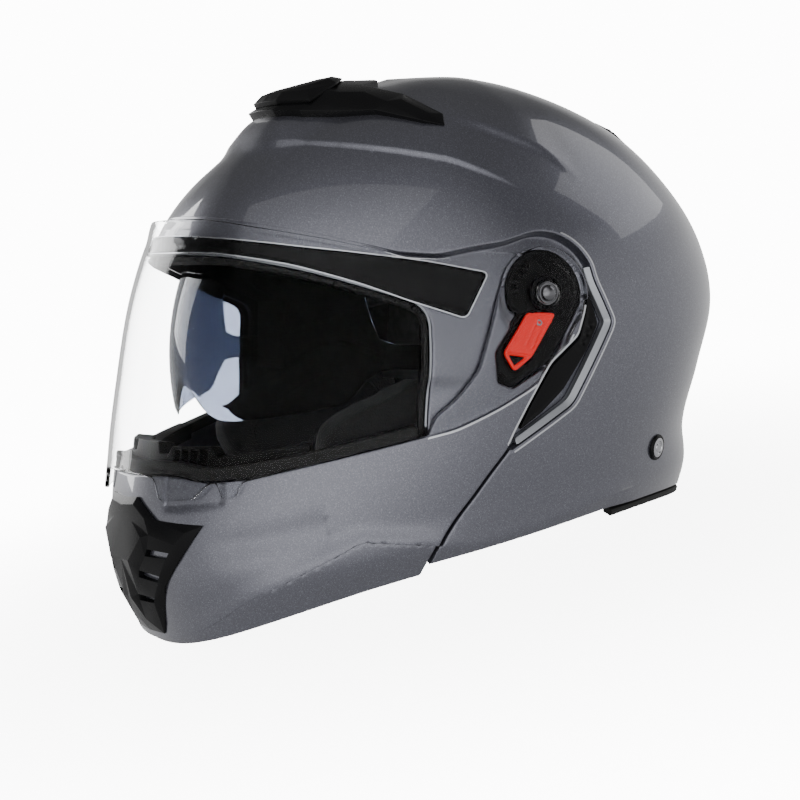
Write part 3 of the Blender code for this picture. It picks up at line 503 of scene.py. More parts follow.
def ramp(mat, value, stops):
    made = node(mat, "ShaderNodeValToRGB")
    while len(made.color_ramp.elements) < len(stops):
        made.color_ramp.elements.new(0.5)
    for element, (at, colour) in zip(made.color_ramp.elements, stops):
        element.position = at
        element.color = (*colour, 1) if len(colour) == 3 else colour
    link(mat, value, made.inputs["Fac"])
    return made.outputs["Color"]


def bumped(mat, height, distance, strength=1.0, after=None):
    made = node(mat, "ShaderNodeBump")
    made.inputs["Strength"].default_value = strength
    made.inputs["Distance"].default_value = distance
    link(mat, height, made.inputs["Height"])
    if after is not None:
        link(mat, after, made.inputs["Normal"])
    link(mat, made.outputs["Normal"], mat.node_tree.nodes["Principled BSDF"].inputs["Normal"])
    return made.outputs["Normal"]


def noise(mat, vector, scale, detail=2.0, roughness=0.5):
    made = node(mat, "ShaderNodeTexNoise", Scale=scale, Detail=detail, Roughness=roughness)
    link(mat, vector, made.inputs["Vector"])
    return made.outputs["Fac"]


def grained(name, colour, roughness, grain, depth, spread=0.06, tint=0.15, metallic=0.0, **sockets):
    """A plastic or metal with a fine grain, and a finish that wanders a little over the surface."""
    mat = material(name, colour, roughness, metallic, **sockets)
    shader = mat.node_tree.nodes["Principled BSDF"]
    at = where(mat)
    fine = noise(mat, at, grain, 3.0)
    broad = noise(mat, at, 26.0, 4.0)
    low, high = [max(0.0, c * (1 - tint)) for c in colour], [min(1.0, c * (1 + tint)) for c in colour]
    link(mat, ramp(mat, broad, [(0.3, low), (0.7, high)]), shader.inputs["Base Color"])
    a, b = max(0.02, roughness - spread), min(1.0, roughness + spread)
    link(mat, ramp(mat, broad, [(0.3, (a, a, a)), (0.7, (b, b, b))]), shader.inputs["Roughness"])
    bumped(mat, fine, depth)
    return mat


def flake_paint():
    mat = material("paint_gunmetal", (0.13, 0.145, 0.16), 0.34, 0.82, Coat_Weight=1.0, Coat_Roughness=0.035)
    shader = mat.node_tree.nodes["Principled BSDF"]
    at = where(mat)
    flakes = node(mat, "ShaderNodeTexVoronoi", Scale=3200.0)
    link(mat, at, flakes.inputs["Vector"])
    parted = node(mat, "ShaderNodeSeparateColor")
    link(mat, flakes.outputs["Color"], parted.inputs["Color"])
    tone = ramp(mat, parted.outputs["Red"], [(0.0, (0.108, 0.110, 0.134)), (0.60, (0.128, 0.130, 0.157)),
                                             (0.90, (0.155, 0.158, 0.188)), (1.0, (0.22, 0.225, 0.262))])
    drift = ramp(mat, noise(mat, at, 9.0, 2.0), [(0.3, (0.93, 0.93, 0.94)), (0.7, (1.0, 1.0, 1.0))])
    mix = node(mat, "ShaderNodeMix", data_type="RGBA", blend_type="MULTIPLY")
    mix.inputs["Factor"].default_value = 1.0
    link(mat, tone, mix.inputs["A"])
    link(mat, drift, mix.inputs["B"])
    link(mat, mix.outputs["Result"], shader.inputs["Base Color"])
    bumped(mat, parted.outputs["Green"], 0.00003, 0.16)
    return mat


def cloth(name, colour, threads, depth, roughness=0.92, weave=True):
    mat = material(name, colour, roughness, Sheen_Weight=0.12, Sheen_Roughness=0.5)
    shader = mat.node_tree.nodes["Principled BSDF"]
    at = where(mat)
    if weave:
        along = node(mat, "ShaderNodeTexWave", Scale=threads, Distortion=0.6)
        across = node(mat, "ShaderNodeTexWave", Scale=threads, Distortion=0.6, bands_direction="Z")
        for wave in (along, across):
            link(mat, at, wave.inputs["Vector"])
        joined = node(mat, "ShaderNodeMath", operation="MULTIPLY")
        link(mat, along.outputs["Fac"], joined.inputs[0])
        link(mat, across.outputs["Fac"], joined.inputs[1])
        height = joined.outputs[0]
    else:
        cells = node(mat, "ShaderNodeTexVoronoi", Scale=threads)
        link(mat, at, cells.inputs["Vector"])
        height = cells.outputs["Distance"]
    dark = [c * 0.7 for c in colour]
    light = [min(1, c * 1.6) for c in colour]
    link(mat, ramp(mat, height, [(0.0, dark), (0.8, light)]), shader.inputs["Base Color"])
    first = bumped(mat, height, depth)
    bumped(mat, noise(mat, at, 120.0, 3.0), depth * 1.6, 0.6, after=first)
    return mat


def foam_beads():
    mat = material("foam", (0.02, 0.02, 0.022), 0.88, Specular_IOR_Level=0.3)
    shader = mat.node_tree.nodes["Principled BSDF"]
    at = where(mat)
    beads = node(mat, "ShaderNodeTexVoronoi", Scale=300.0)
    link(mat, at, beads.inputs["Vector"])
    link(mat, ramp(mat, beads.outputs["Distance"], [(0.1, (0.020, 0.020, 0.023)), (0.6, (0.008, 0.008, 0.009))]),
         shader.inputs["Base Color"])
    rounded_up = ramp(mat, beads.outputs["Distance"], [(0.0, (1, 1, 1)), (0.7, (0, 0, 0))])
    bumped(mat, rounded_up, 0.0004)
    return mat


def clear_plastic(name, colour, tint=(1, 1, 1), roughness=0.01, haze=120.0):
    mat = material(name, colour, roughness, Transmission_Weight=1.0, IOR=1.22, Specular_Tint=(0.16, 0.16, 0.16, 1))
    at = where(mat)
    link(mat, ramp(mat, noise(mat, at, haze, 2.0), [(0.35, [c * 0.985 for c in colour]), (0.65, colour)]),
         mat.node_tree.nodes["Principled BSDF"].inputs["Base Color"])
    bumped(mat, noise(mat, at, 30.0, 1.0), 0.00003, 0.15)
    return mat


PAINT = flake_paint()
GLOSS = grained("black_gloss", (0.004, 0.004, 0.0045), 0.14, 900.0, 0.00001, 0.04, Specular_IOR_Level=0.13)
MATTE = grained("black_matte", (0.0065, 0.0065, 0.007), 0.44, 1400.0, 0.00008, 0.07, Specular_IOR_Level=0.09)
SATIN = grained("black_satin", (0.005, 0.005, 0.0055), 0.27, 1800.0, 0.00003, 0.05, Specular_IOR_Level=0.11)
RUBBER = grained("rubber", (0.006, 0.006, 0.006), 0.6, 700.0, 0.00005, 0.08, Specular_IOR_Level=0.3)
# The red also glows faintly through its emission: a painted glow that brightens the lever, release button and buckle
# lever beyond what the lamps give.
RED_WITH_PAINTED_GLOW = grained("lever_red", (0.95, 0.010, 0.006), 0.32, 1300.0, 0.00002, 0.05, 0.05,
              Emission_Color=(0.9, 0.02, 0.01, 1), Emission_Strength=0.12)
CHROME = grained("chrome", (0.50, 0.50, 0.52), 0.14, 500.0, 0.000008, 0.04, 0.05, metallic=1.0)
DARK_CHROME = grained("dark_chrome", (0.16, 0.16, 0.17), 0.12, 500.0, 0.000008, 0.04, 0.05, metallic=1.0)
SILVER_PAINT = grained("silver_paint", (0.27, 0.282, 0.305), 0.30, 2600.0, 0.00003, 0.05, 0.06, metallic=0.8,
                       Coat_Weight=0.8, Coat_Roughness=0.05)
STEEL = grained("steel", (0.36, 0.36, 0.38), 0.33, 1100.0, 0.00002, 0.08, 0.1, metallic=1.0)
# Strips in this silver along the recess, arm, visor pocket, brow and top vent edges are painted highlights: bright
# lines set where those edges catch the light.
SILVER = grained("silver_painted_highlight", (0.62, 0.63, 0.66), 0.28, 1500.0, 0.00001, 0.05, 0.05, metallic=0.9)
FOAM = foam_beads()
KNIT = cloth("liner_cloth", (0.007, 0.007, 0.0085), 1100.0, 0.00022, weave=False)
MESH_CLOTH = cloth("liner_mesh", (0.008, 0.008, 0.010), 620.0, 0.0003, weave=False)
WEBBING = cloth("webbing", (0.017, 0.017, 0.019), 380.0, 0.0003)
CLEAR = clear_plastic("visor_clear", (0.985, 0.99, 0.995))
SMOKE = clear_plastic("sun_smoke", (0.060, 0.069, 0.094), haze=60.0)


# ------------------------------------------------------------------ camera, floor and light
PITCH = math.radians(12.6)
PHOTO_AZ, PHOTO_EL = math.radians(63), math.radians(3)
REACH = 1.12


def unpitched(v):
    """From the photo's frame, in which the helmet leans forward, to the frame in which it stands."""
    c, s = math.cos(PITCH), math.sin(PITCH)
    return Vector((v[0], v[1] * c + v[2] * s, -v[1] * s + v[2] * c))


def make_camera():
    back = Vector((math.sin(PHOTO_AZ) * math.cos(PHOTO_EL), -math.cos(PHOTO_AZ) * math.cos(PHOTO_EL),
                   math.sin(PHOTO_EL)))
    right = Vector((math.cos(PHOTO_AZ), math.sin(PHOTO_AZ), 0))
    up = back.cross(right)
    axes = [unpitched(v) for v in (right, up, back)]
    data = bpy.data.cameras.new("photo_camera")
    data.lens = 96.75
    data.sensor_width = 36
    data.clip_start = 0.05
    camera = bpy.data.objects.new("photo_camera", data)
    bpy.context.scene.collection.objects.link(camera)
    turn = Matrix([[axes[col][row] for col in range(3)] for row in range(3)]).to_4x4()
    centre = unpitched((0, 0, 0)) + Vector((0, -0.004, 0.083))
    camera.matrix_world = Matrix.Translation(centre + axes[2] * REACH) @ turn
    bpy.context.scene.camera = camera


def area_light(name, place_at, target, size, power, colour=(1, 1, 1)):
    data = bpy.data.lights.new(name, "AREA")
    data.shape = "RECTANGLE"
    data.size, data.size_y = size
    data.energy = power
    data.color = colour
    lamp = bpy.data.objects.new(name, data)
    bpy.context.scene.collection.objects.link(lamp)
    lamp.location = place_at
    lamp.rotation_euler = (Vector(target) - Vector(place_at)).to_track_quat("-Z", "Y").to_euler()
    lamp.visible_camera = False
    return lamp


def make_world():
    world = bpy.data.worlds.new("studio")
    bpy.context.scene.world = world
    world.use_nodes = True
    tree = world.node_tree
    background = tree.nodes["Background"]
    place_in = tree.nodes.new("ShaderNodeTexCoord")
    parts = tree.nodes.new("ShaderNodeSeparateXYZ")
    tree.links.new(place_in.outputs["Generated"], parts.inputs[0])
    spread = tree.nodes.new("ShaderNodeMapRange")
    spread.inputs["From Min"].default_value = -1
    tree.links.new(parts.outputs["Z"], spread.inputs["Value"])
    tones = tree.nodes.new("ShaderNodeValToRGB")
    stops = [(0.0, 0.52), (0.38, 0.84), (0.5, 0.90), (0.59, 0.60), (0.68, 0.18), (0.82, 0.11), (1.0, 0.22)]
    while len(tones.color_ramp.elements) < len(stops):
        tones.color_ramp.elements.new(0.5)
    for element, (at, tone) in zip(tones.color_ramp.elements, stops):
        element.position = at
        element.color = (tone, tone, tone, 1)
    tree.links.new(spread.outputs["Result"], tones.inputs["Fac"])
    glow = tree.nodes.new("ShaderNodeVectorMath")
    glow.operation = "DOT_PRODUCT"
    glow.inputs[1].default_value = Vector((0.80, -0.48, 0.36)).normalized()
    tree.links.new(place_in.outputs["Generated"], glow.inputs[0])
    lobe = tree.nodes.new("ShaderNodeMapRange")
    lobe.interpolation_type = "SMOOTHSTEP"
    lobe.inputs["From Min"].default_value = 0.45
    lobe.inputs["From Max"].default_value = 1.0
    lobe.inputs["To Max"].default_value = 1.25
    tree.links.new(glow.outputs["Value"], lobe.inputs["Value"])
    lit = tree.nodes.new("ShaderNodeMix")
    lit.data_type = "RGBA"
    lit.blend_type = "ADD"
    lit.inputs["Factor"].default_value = 1.0
    tree.links.new(tones.outputs["Color"], lit.inputs["A"])
    tree.links.new(lobe.outputs["Result"], lit.inputs["B"])
    rays = tree.nodes.new("ShaderNodeLightPath")
    direct = tree.nodes.new("ShaderNodeMath")
    direct.operation = "LESS_THAN"
    direct.inputs[1].default_value = 0.5
    bounces = tree.nodes.new("ShaderNodeMath")
    tree.links.new(rays.outputs["Diffuse Depth"], bounces.inputs[0])
    tree.links.new(rays.outputs["Glossy Depth"], bounces.inputs[1])
    tree.links.new(bounces.outputs[0], direct.inputs[0])
    behind = tree.nodes.new("ShaderNodeMath")
    behind.operation = "MULTIPLY"
    tree.links.new(rays.outputs["Is Transmission Ray"], behind.inputs[0])
    tree.links.new(direct.outputs[0], behind.inputs[1])
    seen = tree.nodes.new("ShaderNodeMath")
    seen.operation = "MAXIMUM"
    tree.links.new(rays.outputs["Is Camera Ray"], seen.inputs[0])
    tree.links.new(behind.outputs[0], seen.inputs[1])
    mix = tree.nodes.new("ShaderNodeMix")
    mix.data_type = "RGBA"
    tree.links.new(seen.outputs[0], mix.inputs["Factor"])
    tree.links.new(lit.outputs["Result"], mix.inputs["A"])
    mix.inputs["B"].default_value = (13, 13, 13, 1)
    tree.links.new(mix.outputs["Result"], background.inputs["Color"])


def make_floor():
    mat = bpy.data.materials.new("floor_pale")
    mat.use_nodes = True
    tree = mat.node_tree
    shader = tree.nodes["Principled BSDF"]
    shader.inputs["Base Color"].default_value = (0.86, 0.86, 0.87, 1)
    shader.inputs["Roughness"].default_value = 0.6
    clear = tree.nodes.new("ShaderNodeBsdfTransparent")
    mix = tree.nodes.new("ShaderNodeMixShader")
    place_in = tree.nodes.new("ShaderNodeTexCoord")
    length = tree.nodes.new("ShaderNodeVectorMath")
    length.operation = "LENGTH"
    tree.links.new(place_in.outputs["Object"], length.inputs[0])
    fade = tree.nodes.new("ShaderNodeMapRange")
    fade.interpolation_type = "SMOOTHSTEP"
    fade.inputs["From Min"].default_value = 0.10
    fade.inputs["From Max"].default_value = 0.55
    fade.inputs["To Min"].default_value = 0.42
    fade.inputs["To Max"].default_value = 0.0
    tree.links.new(length.outputs["Value"], fade.inputs["Value"])
    tree.links.new(fade.outputs["Result"], mix.inputs["Fac"])
    tree.links.new(clear.outputs[0], mix.inputs[1])
    tree.links.new(shader.outputs[0], mix.inputs[2])
    tree.links.new(mix.outputs[0], tree.nodes["Material Output"].inputs["Surface"])
    bm = bmesh.new()
    bmesh.ops.create_circle(bm, cap_ends=True, segments=96, radius=0.9)
    mesh = bpy.data.meshes.new("floor")
    bm.to_mesh(mesh)
    bm.free()
    mesh.materials.append(mat)
    floor = bpy.data.objects.new("floor", mesh)
    bpy.context.scene.collection.objects.link(floor)
    floor.location.z = cad_box[0][2] - 0.0003


make_camera()
make_world()
make_floor()
area_light("overhead", (0.6, -0.9, 2.2), (0, 0, 0.12), (2.4, 1.8), 7)
area_light("rim", (0.2, 2.0, 1.1), (0, 0, 0.15), (1.8, 1.2), 8)
area_light("far_side", (-1.8, -0.6, 0.7), (0, 0, 0.12), (0.8, 1.0), 12)


# ------------------------------------------------------------------ the painted shell
def both_sides(build, body, slot, nodes):
    """Builds a piece for each side. nodes names the CAD nodes it replaces, without their side."""
    for side, word in ((1, "left"), (-1, "right")):
        made = build(word)
        if side < 0:
            made.data.transform(Matrix.Diagonal((-1, 1, 1, 1)))
            made.data.flip_normals()
        place(made, body.replace("SIDE", word), slot, *[n + "_" + word for n in nodes])


LOWER_CREASE = [(16, -159.6, 3), (68.6, -137, 22), (87.7, -114.7, 31), (101.7, -86.7, 40.5), (107, -70.5, 35.7),
                (110.8, -52, 30), (111.6, -37, 25), (113.5, 1, 25.5), (111, 38, 28.8), (103, 65, 28)]
CREASE_A = [(30, -100, 197), (30, -88, 207), (22, -75, 217.5), (17.4, -63.5, 224.6), (40, -49, 224.7),
            (61, -33, 219), (77, -15.6, 212), (90, 3, 203.7), (102, 21, 190.6), (110, 39, 176)]
CREASE_B = [(69, 12, 223.6), (81, 28, 215), (94, 51, 198.5), (104.7, 68, 176.7)]


class Crease:
    """A line along the surface, smoothed from its points and read as a height over y, seen from the side."""

    PITCH = 0.5

    def __init__(self, points, fade=18.0, softness=3.0):
        line = np.array(points, float)[:, 1:]
        self.start, self.end = line[0, 0], line[-1, 0]
        y = np.arange(self.start - 30, self.end + 30, self.PITCH)
        z = np.interp(y, line[:, 0], line[:, 1])
        first = (line[1, 1] - line[0, 1]) / (line[1, 0] - line[0, 0])
        last = (line[-1, 1] - line[-2, 1]) / (line[-1, 0] - line[-2, 0])
        z = z + np.where(y < self.start, (y - self.start) * first, 0) + np.where(y > self.end, (y - self.end) * last, 0)
        reach = np.arange(-12, 12.1, self.PITCH)
        weights = np.exp(-((reach / softness) ** 2))
        padded = np.pad(z, len(reach) // 2, "reflect", reflect_type="odd")
        self.y = y
        self.z = np.convolve(padded, weights / weights.sum(), "valid")[:len(y)]
        self.slope = np.gradient(self.z, self.PITCH)
        self.total = self.end - self.start
        self.fade = fade

    def __call__(self, p):
        y = p[..., 1]
        z = np.interp(y, self.y, self.z)
        slope = np.interp(y, self.y, self.slope)
        return (p[..., 2] - z) / np.sqrt(1 + slope**2), y - self.start

    def strength(self, along):
        return smooth(0, self.fade, along) * smooth(0, self.fade, self.total - along)


lower_crease = Crease(LOWER_CREASE)
crease_a = Crease(CREASE_A, fade=30)
crease_b = Crease(CREASE_B, fade=22)


def lower_relief(p):
    """Below the lower crease the surface steps in and slopes away, and above it a flare leads up to it."""
    d, along = lower_crease(p)
    on = smooth(0, 24, lower_crease.total - along)
    below = np.maximum(-d, 0)
    above = np.maximum(d, 0)
    step = 1.0 * smooth(0.0, 1.1, below)
    slope = 0.05 * np.minimum(below, 26)
    groove = 0.7 * np.exp(-((d + 0.75) / 0.45) ** 2)
    flare = -1.4 * np.exp(-((above / 5.0) ** 2)) * (d > 0) - 1.4 * np.exp(-((below / 0.6) ** 2)) * (d <= 0)
    return on * (step + slope + groove + flare)


def scoop(p):
    """The painted rise in front of the top vent."""
    x, y = np.abs(p[..., 0]), p[..., 1]
    rise = smooth(-70, -45, y) * (1 - smooth(-26, 6, y)) * (1 - smooth(12, 44, x))
    return 6.2 * rise * (p[..., 2] > 190)


def upper_relief(p):
    """The crown's panel stands proud of the shell outside the two creases, with a narrow bevel along them."""
    total = np.zeros(p.shape[:-1])
    for crease, high, wide in ((crease_a, 1.0, 1.3), (crease_b, 1.5, 2.6)):
        d, along = crease(p)
        on = crease.strength(along) * (p[..., 2] > 150)
        total += on * high * smooth(-wide, wide, d) * np.exp(-np.maximum(d - wide, 0) / 22)
    return -total - scoop(p)


def step_down(gap, deep, lip=0.9, foot=0.9):
    """The depth over a step's edge: a rounded lip outside it, a steep wall, then a fillet at its foot."""
    lip = np.minimum(lip, deep * 0.45)
    foot = np.minimum(foot, deep * 0.45)
    outside = np.clip(gap + lip, 0, lip)
    fall = lip - np.sqrt(np.maximum(lip**2 - outside**2, 0))
    wall = np.clip(gap / 0.35, 0, 1) * (deep - lip - foot)
    inside = np.clip(gap - 0.35, 0, foot)
    rise = np.sqrt(np.maximum(foot**2 - (foot - inside) ** 2, 0))
    return np.where(gap < 0, fall, lip + wall + rise)


STEP_LINES = (-0.9, -0.45, -0.1, 0.0, 0.35, 0.6, 1.25)


def make_shell():
    recess = surface_gap(recess_side, 0)

    def wall(phi, p):
        temples = smooth(50, 75, np.degrees(np.abs(phi))) * (1 - smooth(105, 125, np.degrees(np.abs(phi))))
        inside = smooth(-4, 2, recess_side(p))
        return SHELL_WALL + 3.0 * temples * (1 - smooth(178, 200, p[..., 2])) + 3.2 * inside

    def relief(uv, p, gap):
        deep = recess_floor(uv[:, 0], p)
        inside = step_down(recess(uv), deep)
        plain = lower_relief(p) + upper_relief(p)
        return inside + plain * (recess_side(p) < 0)

    lines = [(recess, STEP_LINES), (lambda q: lower_crease(depth_at(q, 0))[0], (-1.5, -0.75, -0.3, 0.0)),
             (lambda q: crease_a(depth_at(q, 0))[0], (-1.3, 0.0, 1.3)),
             (lambda q: crease_b(depth_at(q, 0))[0], (-2.6, 0.0, 2.6))]
    shell = shaped("shell_painted", PAINT, lambda p: -port_side(p), 0, wall, (-180, 180), (0.0, 0.986),
                   pitch=2.0, edge=1.1, extra=lines, relief=relief, sharp=50)
    return place(shell, "shell", "paint_gunmetal", "outer_shell")



# ------------------------------------------------------------------ the chin bar
def outline_grown(field, by):
    return lambda p: field(p) + by


def make_chin_bar():
    under_visor = surface_gap(lambda p: np.minimum(visor_side(p) + 0.8, 200.0), 0)

    def pocket_depth(phi, p):
        lug = 1 - smooth(22, 27, from_pivot(p))
        return np.maximum(VISOR_POCKET + LUG_POCKET_EXTRA * lug - proud(phi, p), 0)

    def relief(uv, p, gap):
        deep = pocket_depth(uv[:, 0], p)
        pocket = step_down(under_visor(uv), deep, 0.7, 0.5)
        cap = front_cap(p)
        return np.maximum(pocket, 0) + lower_relief(p) * (p[..., 1] < -20) + cap

    def field(p):
        return np.minimum(chin_side(p), -(plate_side(p) + 0.5))

    lines = [(under_visor, (-0.7, -0.3, 0.0, 0.35, 0.9)),
             (lambda q: lower_crease(depth_at(q, 0))[0], (-1.5, -0.75, -0.3, 0.0))]
    chin = shaped("chin_bar_painted", PAINT, field, 0, CHIN_WALL, (-128, 128), (0.40, 0.9995), pitch=1.8,
                  edge=0.9, extra=lines, relief=relief, sharp=50)
    return place(chin, "chin_bar", "paint_gunmetal", "chin_bar")


def front_cap(p):
    """The chin's centre stands out a little above the vent, and steps down to where the tabs lie."""
    x, z = np.abs(p[..., 0]), p[..., 2]
    ahead = p[..., 1] < -100
    valley = 0.9 * np.exp(-((z - 50 - 0.05 * (x - 75)) / 7.0) ** 2) * smooth(52, 74, x) * smooth(112, 96, x)
    tabs = 0.9 * smooth(67, 65, x) * smooth(36, 38, x) * smooth(67.5, 69.5, z)
    return np.where(ahead, valley + tabs, 0.0)


def smooth_down(low, high, value):
    return 1 - smooth(low, high, value)


# ------------------------------------------------------------------ what lies round the face opening
def make_visor():
    def field(p):
        y, z = p[..., 1], p[..., 2]
        arm = chin_side(p) - 2.4 + FAR * (1 - smooth(-14, -4, y)) + FAR * smooth(126, 138, z)
        return np.minimum(np.minimum(visor_side(p), visor_front(p)), np.minimum(from_pivot(p) - 6.3, arm))

    visor = shaped("face_visor", CLEAR, field, lambda q, p: -proud(q, p), VISOR_WALL, (-128, 128), (0.34, 0.90),
                   pitch=2.2, edge=0.7, inner_edge=0.5, relief=visor_relief,
                   extra=[(lambda q: from_pivot(depth_at(q, -1.6)) - 14.0, (-0.6, 0.0, 0.6))])
    return place(visor, "visor", "visor_clear", "visor")


def visor_relief(uv, p, gap):
    """A raised ring round the pivot, on each side."""
    r = from_pivot(p)
    ring = -0.6 * smooth(9, 10, r) * (1 - smooth(13.4, 14.6, r))
    return ring * (np.abs(p[..., 0]) > 90)


def make_brow():
    def base(phi, p):
        return recess_floor(phi, p) - 1.7

    def relief(uv, p, gap):
        rim = -0.45 * smooth(0.4, 0.9, gap) * (1 - smooth(1.5, 2.1, gap))
        return rim

    insert = shaped("brow_insert_gloss", GLOSS, brow_side, base, 1.2, (-112, 112), (0.30, 0.68), pitch=2.0,
                    edge=0.5, relief=relief)
    place(insert, "shell", "black_gloss", "brow_insert")
    # The silver strip round the brow insert is a painted highlight along its rim.
    edge = edge_line("brow_edge_line", brow_side, lambda phi, p: recess_floor(phi, p) - 2.0, -0.55, 0.05,
                     (-112, 112), (0.30, 0.68), 1.6, pitch=1.4)
    place(edge, "shell", "chrome")


def edge_line(name, field, base, low, high, phi, v, thickness, mat=None, keep=None, pitch=2.0):
    """A thin strip that follows an outline, between two distances inside it. In the default silver it is a painted
    highlight along that outline's edge.
    """
    def between(p):
        strip = np.minimum(field(p) - low, high - field(p))
        return strip if keep is None else np.minimum(strip, keep(p))

    middle = (low + high) / 2
    return shaped(name, mat or SILVER, between, base, thickness, phi, v, pitch=pitch, edge=0.0, sharp=60,
                  first_lines=[lambda q: field(depth_at(q, base)) - middle])


def make_gasket():
    def field(p):
        inside = port_side(p)
        return np.minimum(np.minimum(inside - 0.3, 2.9 - inside), p[..., 2] - 50.5)

    bead = shaped("port_gasket_bead", RUBBER, field, lambda q, p: recess_floor(q, p) - 0.25, 4.8, (-122, 122),
                  (0.40, 0.93), pitch=2.0, edge=1.0)
    place(bead, "shell", "rubber", "port_gasket")


def make_seal():
    lower = [(-157, 84.6), (-149.5, 84.6), (-140.7, 80.1), (-125, 79.1), (-105, 80.6), (-84, 81.6), (-53, 83)]
    upper = [(-53, 88.5), (-83, 87), (-104, 86), (-123, 85.5), (-139, 86), (-148, 91), (-157, 91)]
    outline = Outline(fillet(lower + upper, 1.5))

    def relief(uv, p, gap):
        height = p[..., 2] - np.interp(p[..., 1], [q[0] for q in lower], [q[1] for q in lower])
        groove = 0.9 * np.exp(-((height - 2.4) / 0.55) ** 2)
        return groove

    seal = shaped("visor_seal_lip", RUBBER, outline, 0.6, 7.6, (-84, 84), (0.68, 0.90), pitch=1.6, edge=0.8,
                  relief=relief)
    place(seal, "chin_bar", "rubber", "visor_seal")


def make_side_trim(word):
    def relief(uv, p, gap):
        rail = 0.9 * smooth(2.6, 1.6, gap) * 0
        y, z = p[..., 1], p[..., 2]
        along = (y - 36) * 0.60 + (z - 104) * 0.80
        ribs = 0.7 * (0.5 + 0.5 * np.cos(along * 1.35)) * smooth(-1, 3, along) * (1 - smooth(17, 19, along))
        return rail + ribs * smooth(2.0, 3.0, gap) - 0.35 * (1 - smooth(1.0, 1.6, gap))

    return shaped("wedge_trim_" + word, GLOSS, wedge_side, 3.5, 2.0, (76, 108), (0.55, 0.83), pitch=0.8,
                  edge=0.5, relief=relief)


def make_wedge_frame(word):
    """The pale bevelled frame between the black wedge and the shell."""
    def field(p):
        inside = recess_side(p)
        return np.minimum(np.minimum(inside - 0.7, 3.4 - inside), np.minimum(p[..., 1] + 7.0, 141 - p[..., 2]))

    def relief(uv, p, gap):
        return 0.75 * np.clip(recess_side(p) - 0.7, 0, 3.2)

    return shaped("wedge_frame_" + word, SILVER_PAINT, field, 0.5, 5.0, (72, 114), (0.50, 0.86), pitch=1.0, edge=0.3,
                  relief=relief, sharp=50)


def make_recess_line(word):
    # A silver strip just inside the recess's edge: a painted highlight along that edge.
    def keep(p):
        return np.minimum(p[..., 1] + 9.0, 160 - p[..., 2])

    return edge_line("recess_line_" + word, recess_side, -0.12, -1.8, -1.0, (72, 114), (0.44, 0.86), 0.6,
                     pitch=1.0, keep=keep)


def make_arm_line(word):
    """A bright silver strip along the arm's lower edge, a painted highlight where that edge catches the light."""
    def keep(p):
        return np.minimum(p[..., 1] + 12.0, 124 - p[..., 2])

    return edge_line("arm_line_" + word, chin_side, -0.10, 0.5, 1.4, (72, 106), (0.56, 0.83), 3.0, pitch=1.0,
                     keep=lambda p: np.minimum(keep(p), 0.66 * p[..., 1] - 0.75 * p[..., 2] + 70))


def make_pocket_line(word):
    """A bright silver strip on the arm, under the face visor's lower edge: a painted highlight of that edge."""
    return edge_line("pocket_line_" + word, visor_side, -0.05, -2.3, -1.4, (60, 104), (0.56, 0.83), 0.6, pitch=1.0,
                     keep=lambda p: np.minimum(np.minimum(p[..., 1] + 50.0, 112 - p[..., 2]), chin_side(p) - 1.5))


def make_port_line():
    def field(p):
        return np.minimum(-port_side(p) - 0.2, port_side(p) + 1.1)

    def port_line_depth(phi, p):
        return recess_floor(phi, p) - 0.22

    # The port's edge is the shell paint turning inward, drawn in a paler silver paint: a painted highlight of that lit
    # edge.
    line = shaped("port_edge_line", SILVER_PAINT, lambda p: np.minimum(field(p), p[..., 2] - 86),
                  lambda q, p: recess_floor(q, p) - 0.22, 0.8, (-122, 122), (0.40, 0.80), pitch=1.6, edge=0.0,
                  first_lines=[lambda q: port_side(depth_at(q, port_line_depth)) + 0.65])
    place(line, "shell", "paint_gunmetal")


def make_plate(word):
    def relief(uv, p, gap):
        y, z = p[..., 1] - PIVOT[0], p[..., 2] - PIVOT[1]
        r = np.hypot(y, z)
        angle = np.degrees(np.arctan2(z, y))
        right = smooth(-75, -60, angle) * (1 - smooth(50, 65, angle))
        rings = 0.35 * np.sin((r - 11) * 2.4) * smooth(11, 12, r) * (1 - smooth(18, 19, r)) * right
        left = smooth(95, 105, angle) * (1 - smooth(160, 172, angle))
        teeth = 0.5 * np.sign(np.sin(np.radians(angle) * 26)) * smooth(14, 14.6, r) * (1 - smooth(17, 17.6, r)) * left
        rim = -0.45 * (1 - smooth(1.0, 1.6, gap))
        well = 0.4 * (lever_side(p) > -1.2)
        return rings + teeth + rim + well

    def field(p):
        return np.minimum(plate_side(p), from_pivot(p) - 5.9)

    return shaped("base_plate_ribbed_" + word, SATIN, field, 4.0, 1.3, (73, 106), (0.46, 0.77), pitch=0.6,
                  edge=0.5, relief=relief)


def frame_of(inside):
    """One just outside a window's edge, zero elsewhere."""
    return smooth(-1.3, -1.1, inside) * (1 - smooth(-0.3, -0.1, inside))


LEVER_WINDOW = [(-1.2, 104.2), (6.4, 107.2), (-3.0, 110.6)]


def make_lever(word):
    window = LEVER_WINDOW
    window_side = Outline(fillet(window, 0.7))

    def relief(uv, p, gap):
        y, z = p[..., 1], p[..., 2]
        floor = 0.55 * smooth(1.25, 1.5, gap)
        across = (y - 14.0) * 0.75 - (z - 118.0) * 0.66
        along = (y - 14.0) * 0.66 + (z - 118.0) * 0.75
        ribs = sum(np.exp(-((across - at) / 0.55) ** 4) for at in (-1.7, 1.7))
        ribs = ribs * smooth(-9, -7.5, along) * (1 - smooth(5.5, 7, along))
        inside = window_side(p)
        raised = np.maximum(ribs, frame_of(inside))
        return floor * (1 - raised) + 0.6 * smooth(0.0, 0.4, inside)

    return shaped("lever_red_" + word, RED_WITH_PAINTED_GLOW, lever_side, 2.0, 1.6, (79, 99), (0.58, 0.73), pitch=0.4, edge=0.5,
                  relief=relief, extra=[(lambda q: window_side(depth_at(q, 2.1)), (0.0, 0.4))])


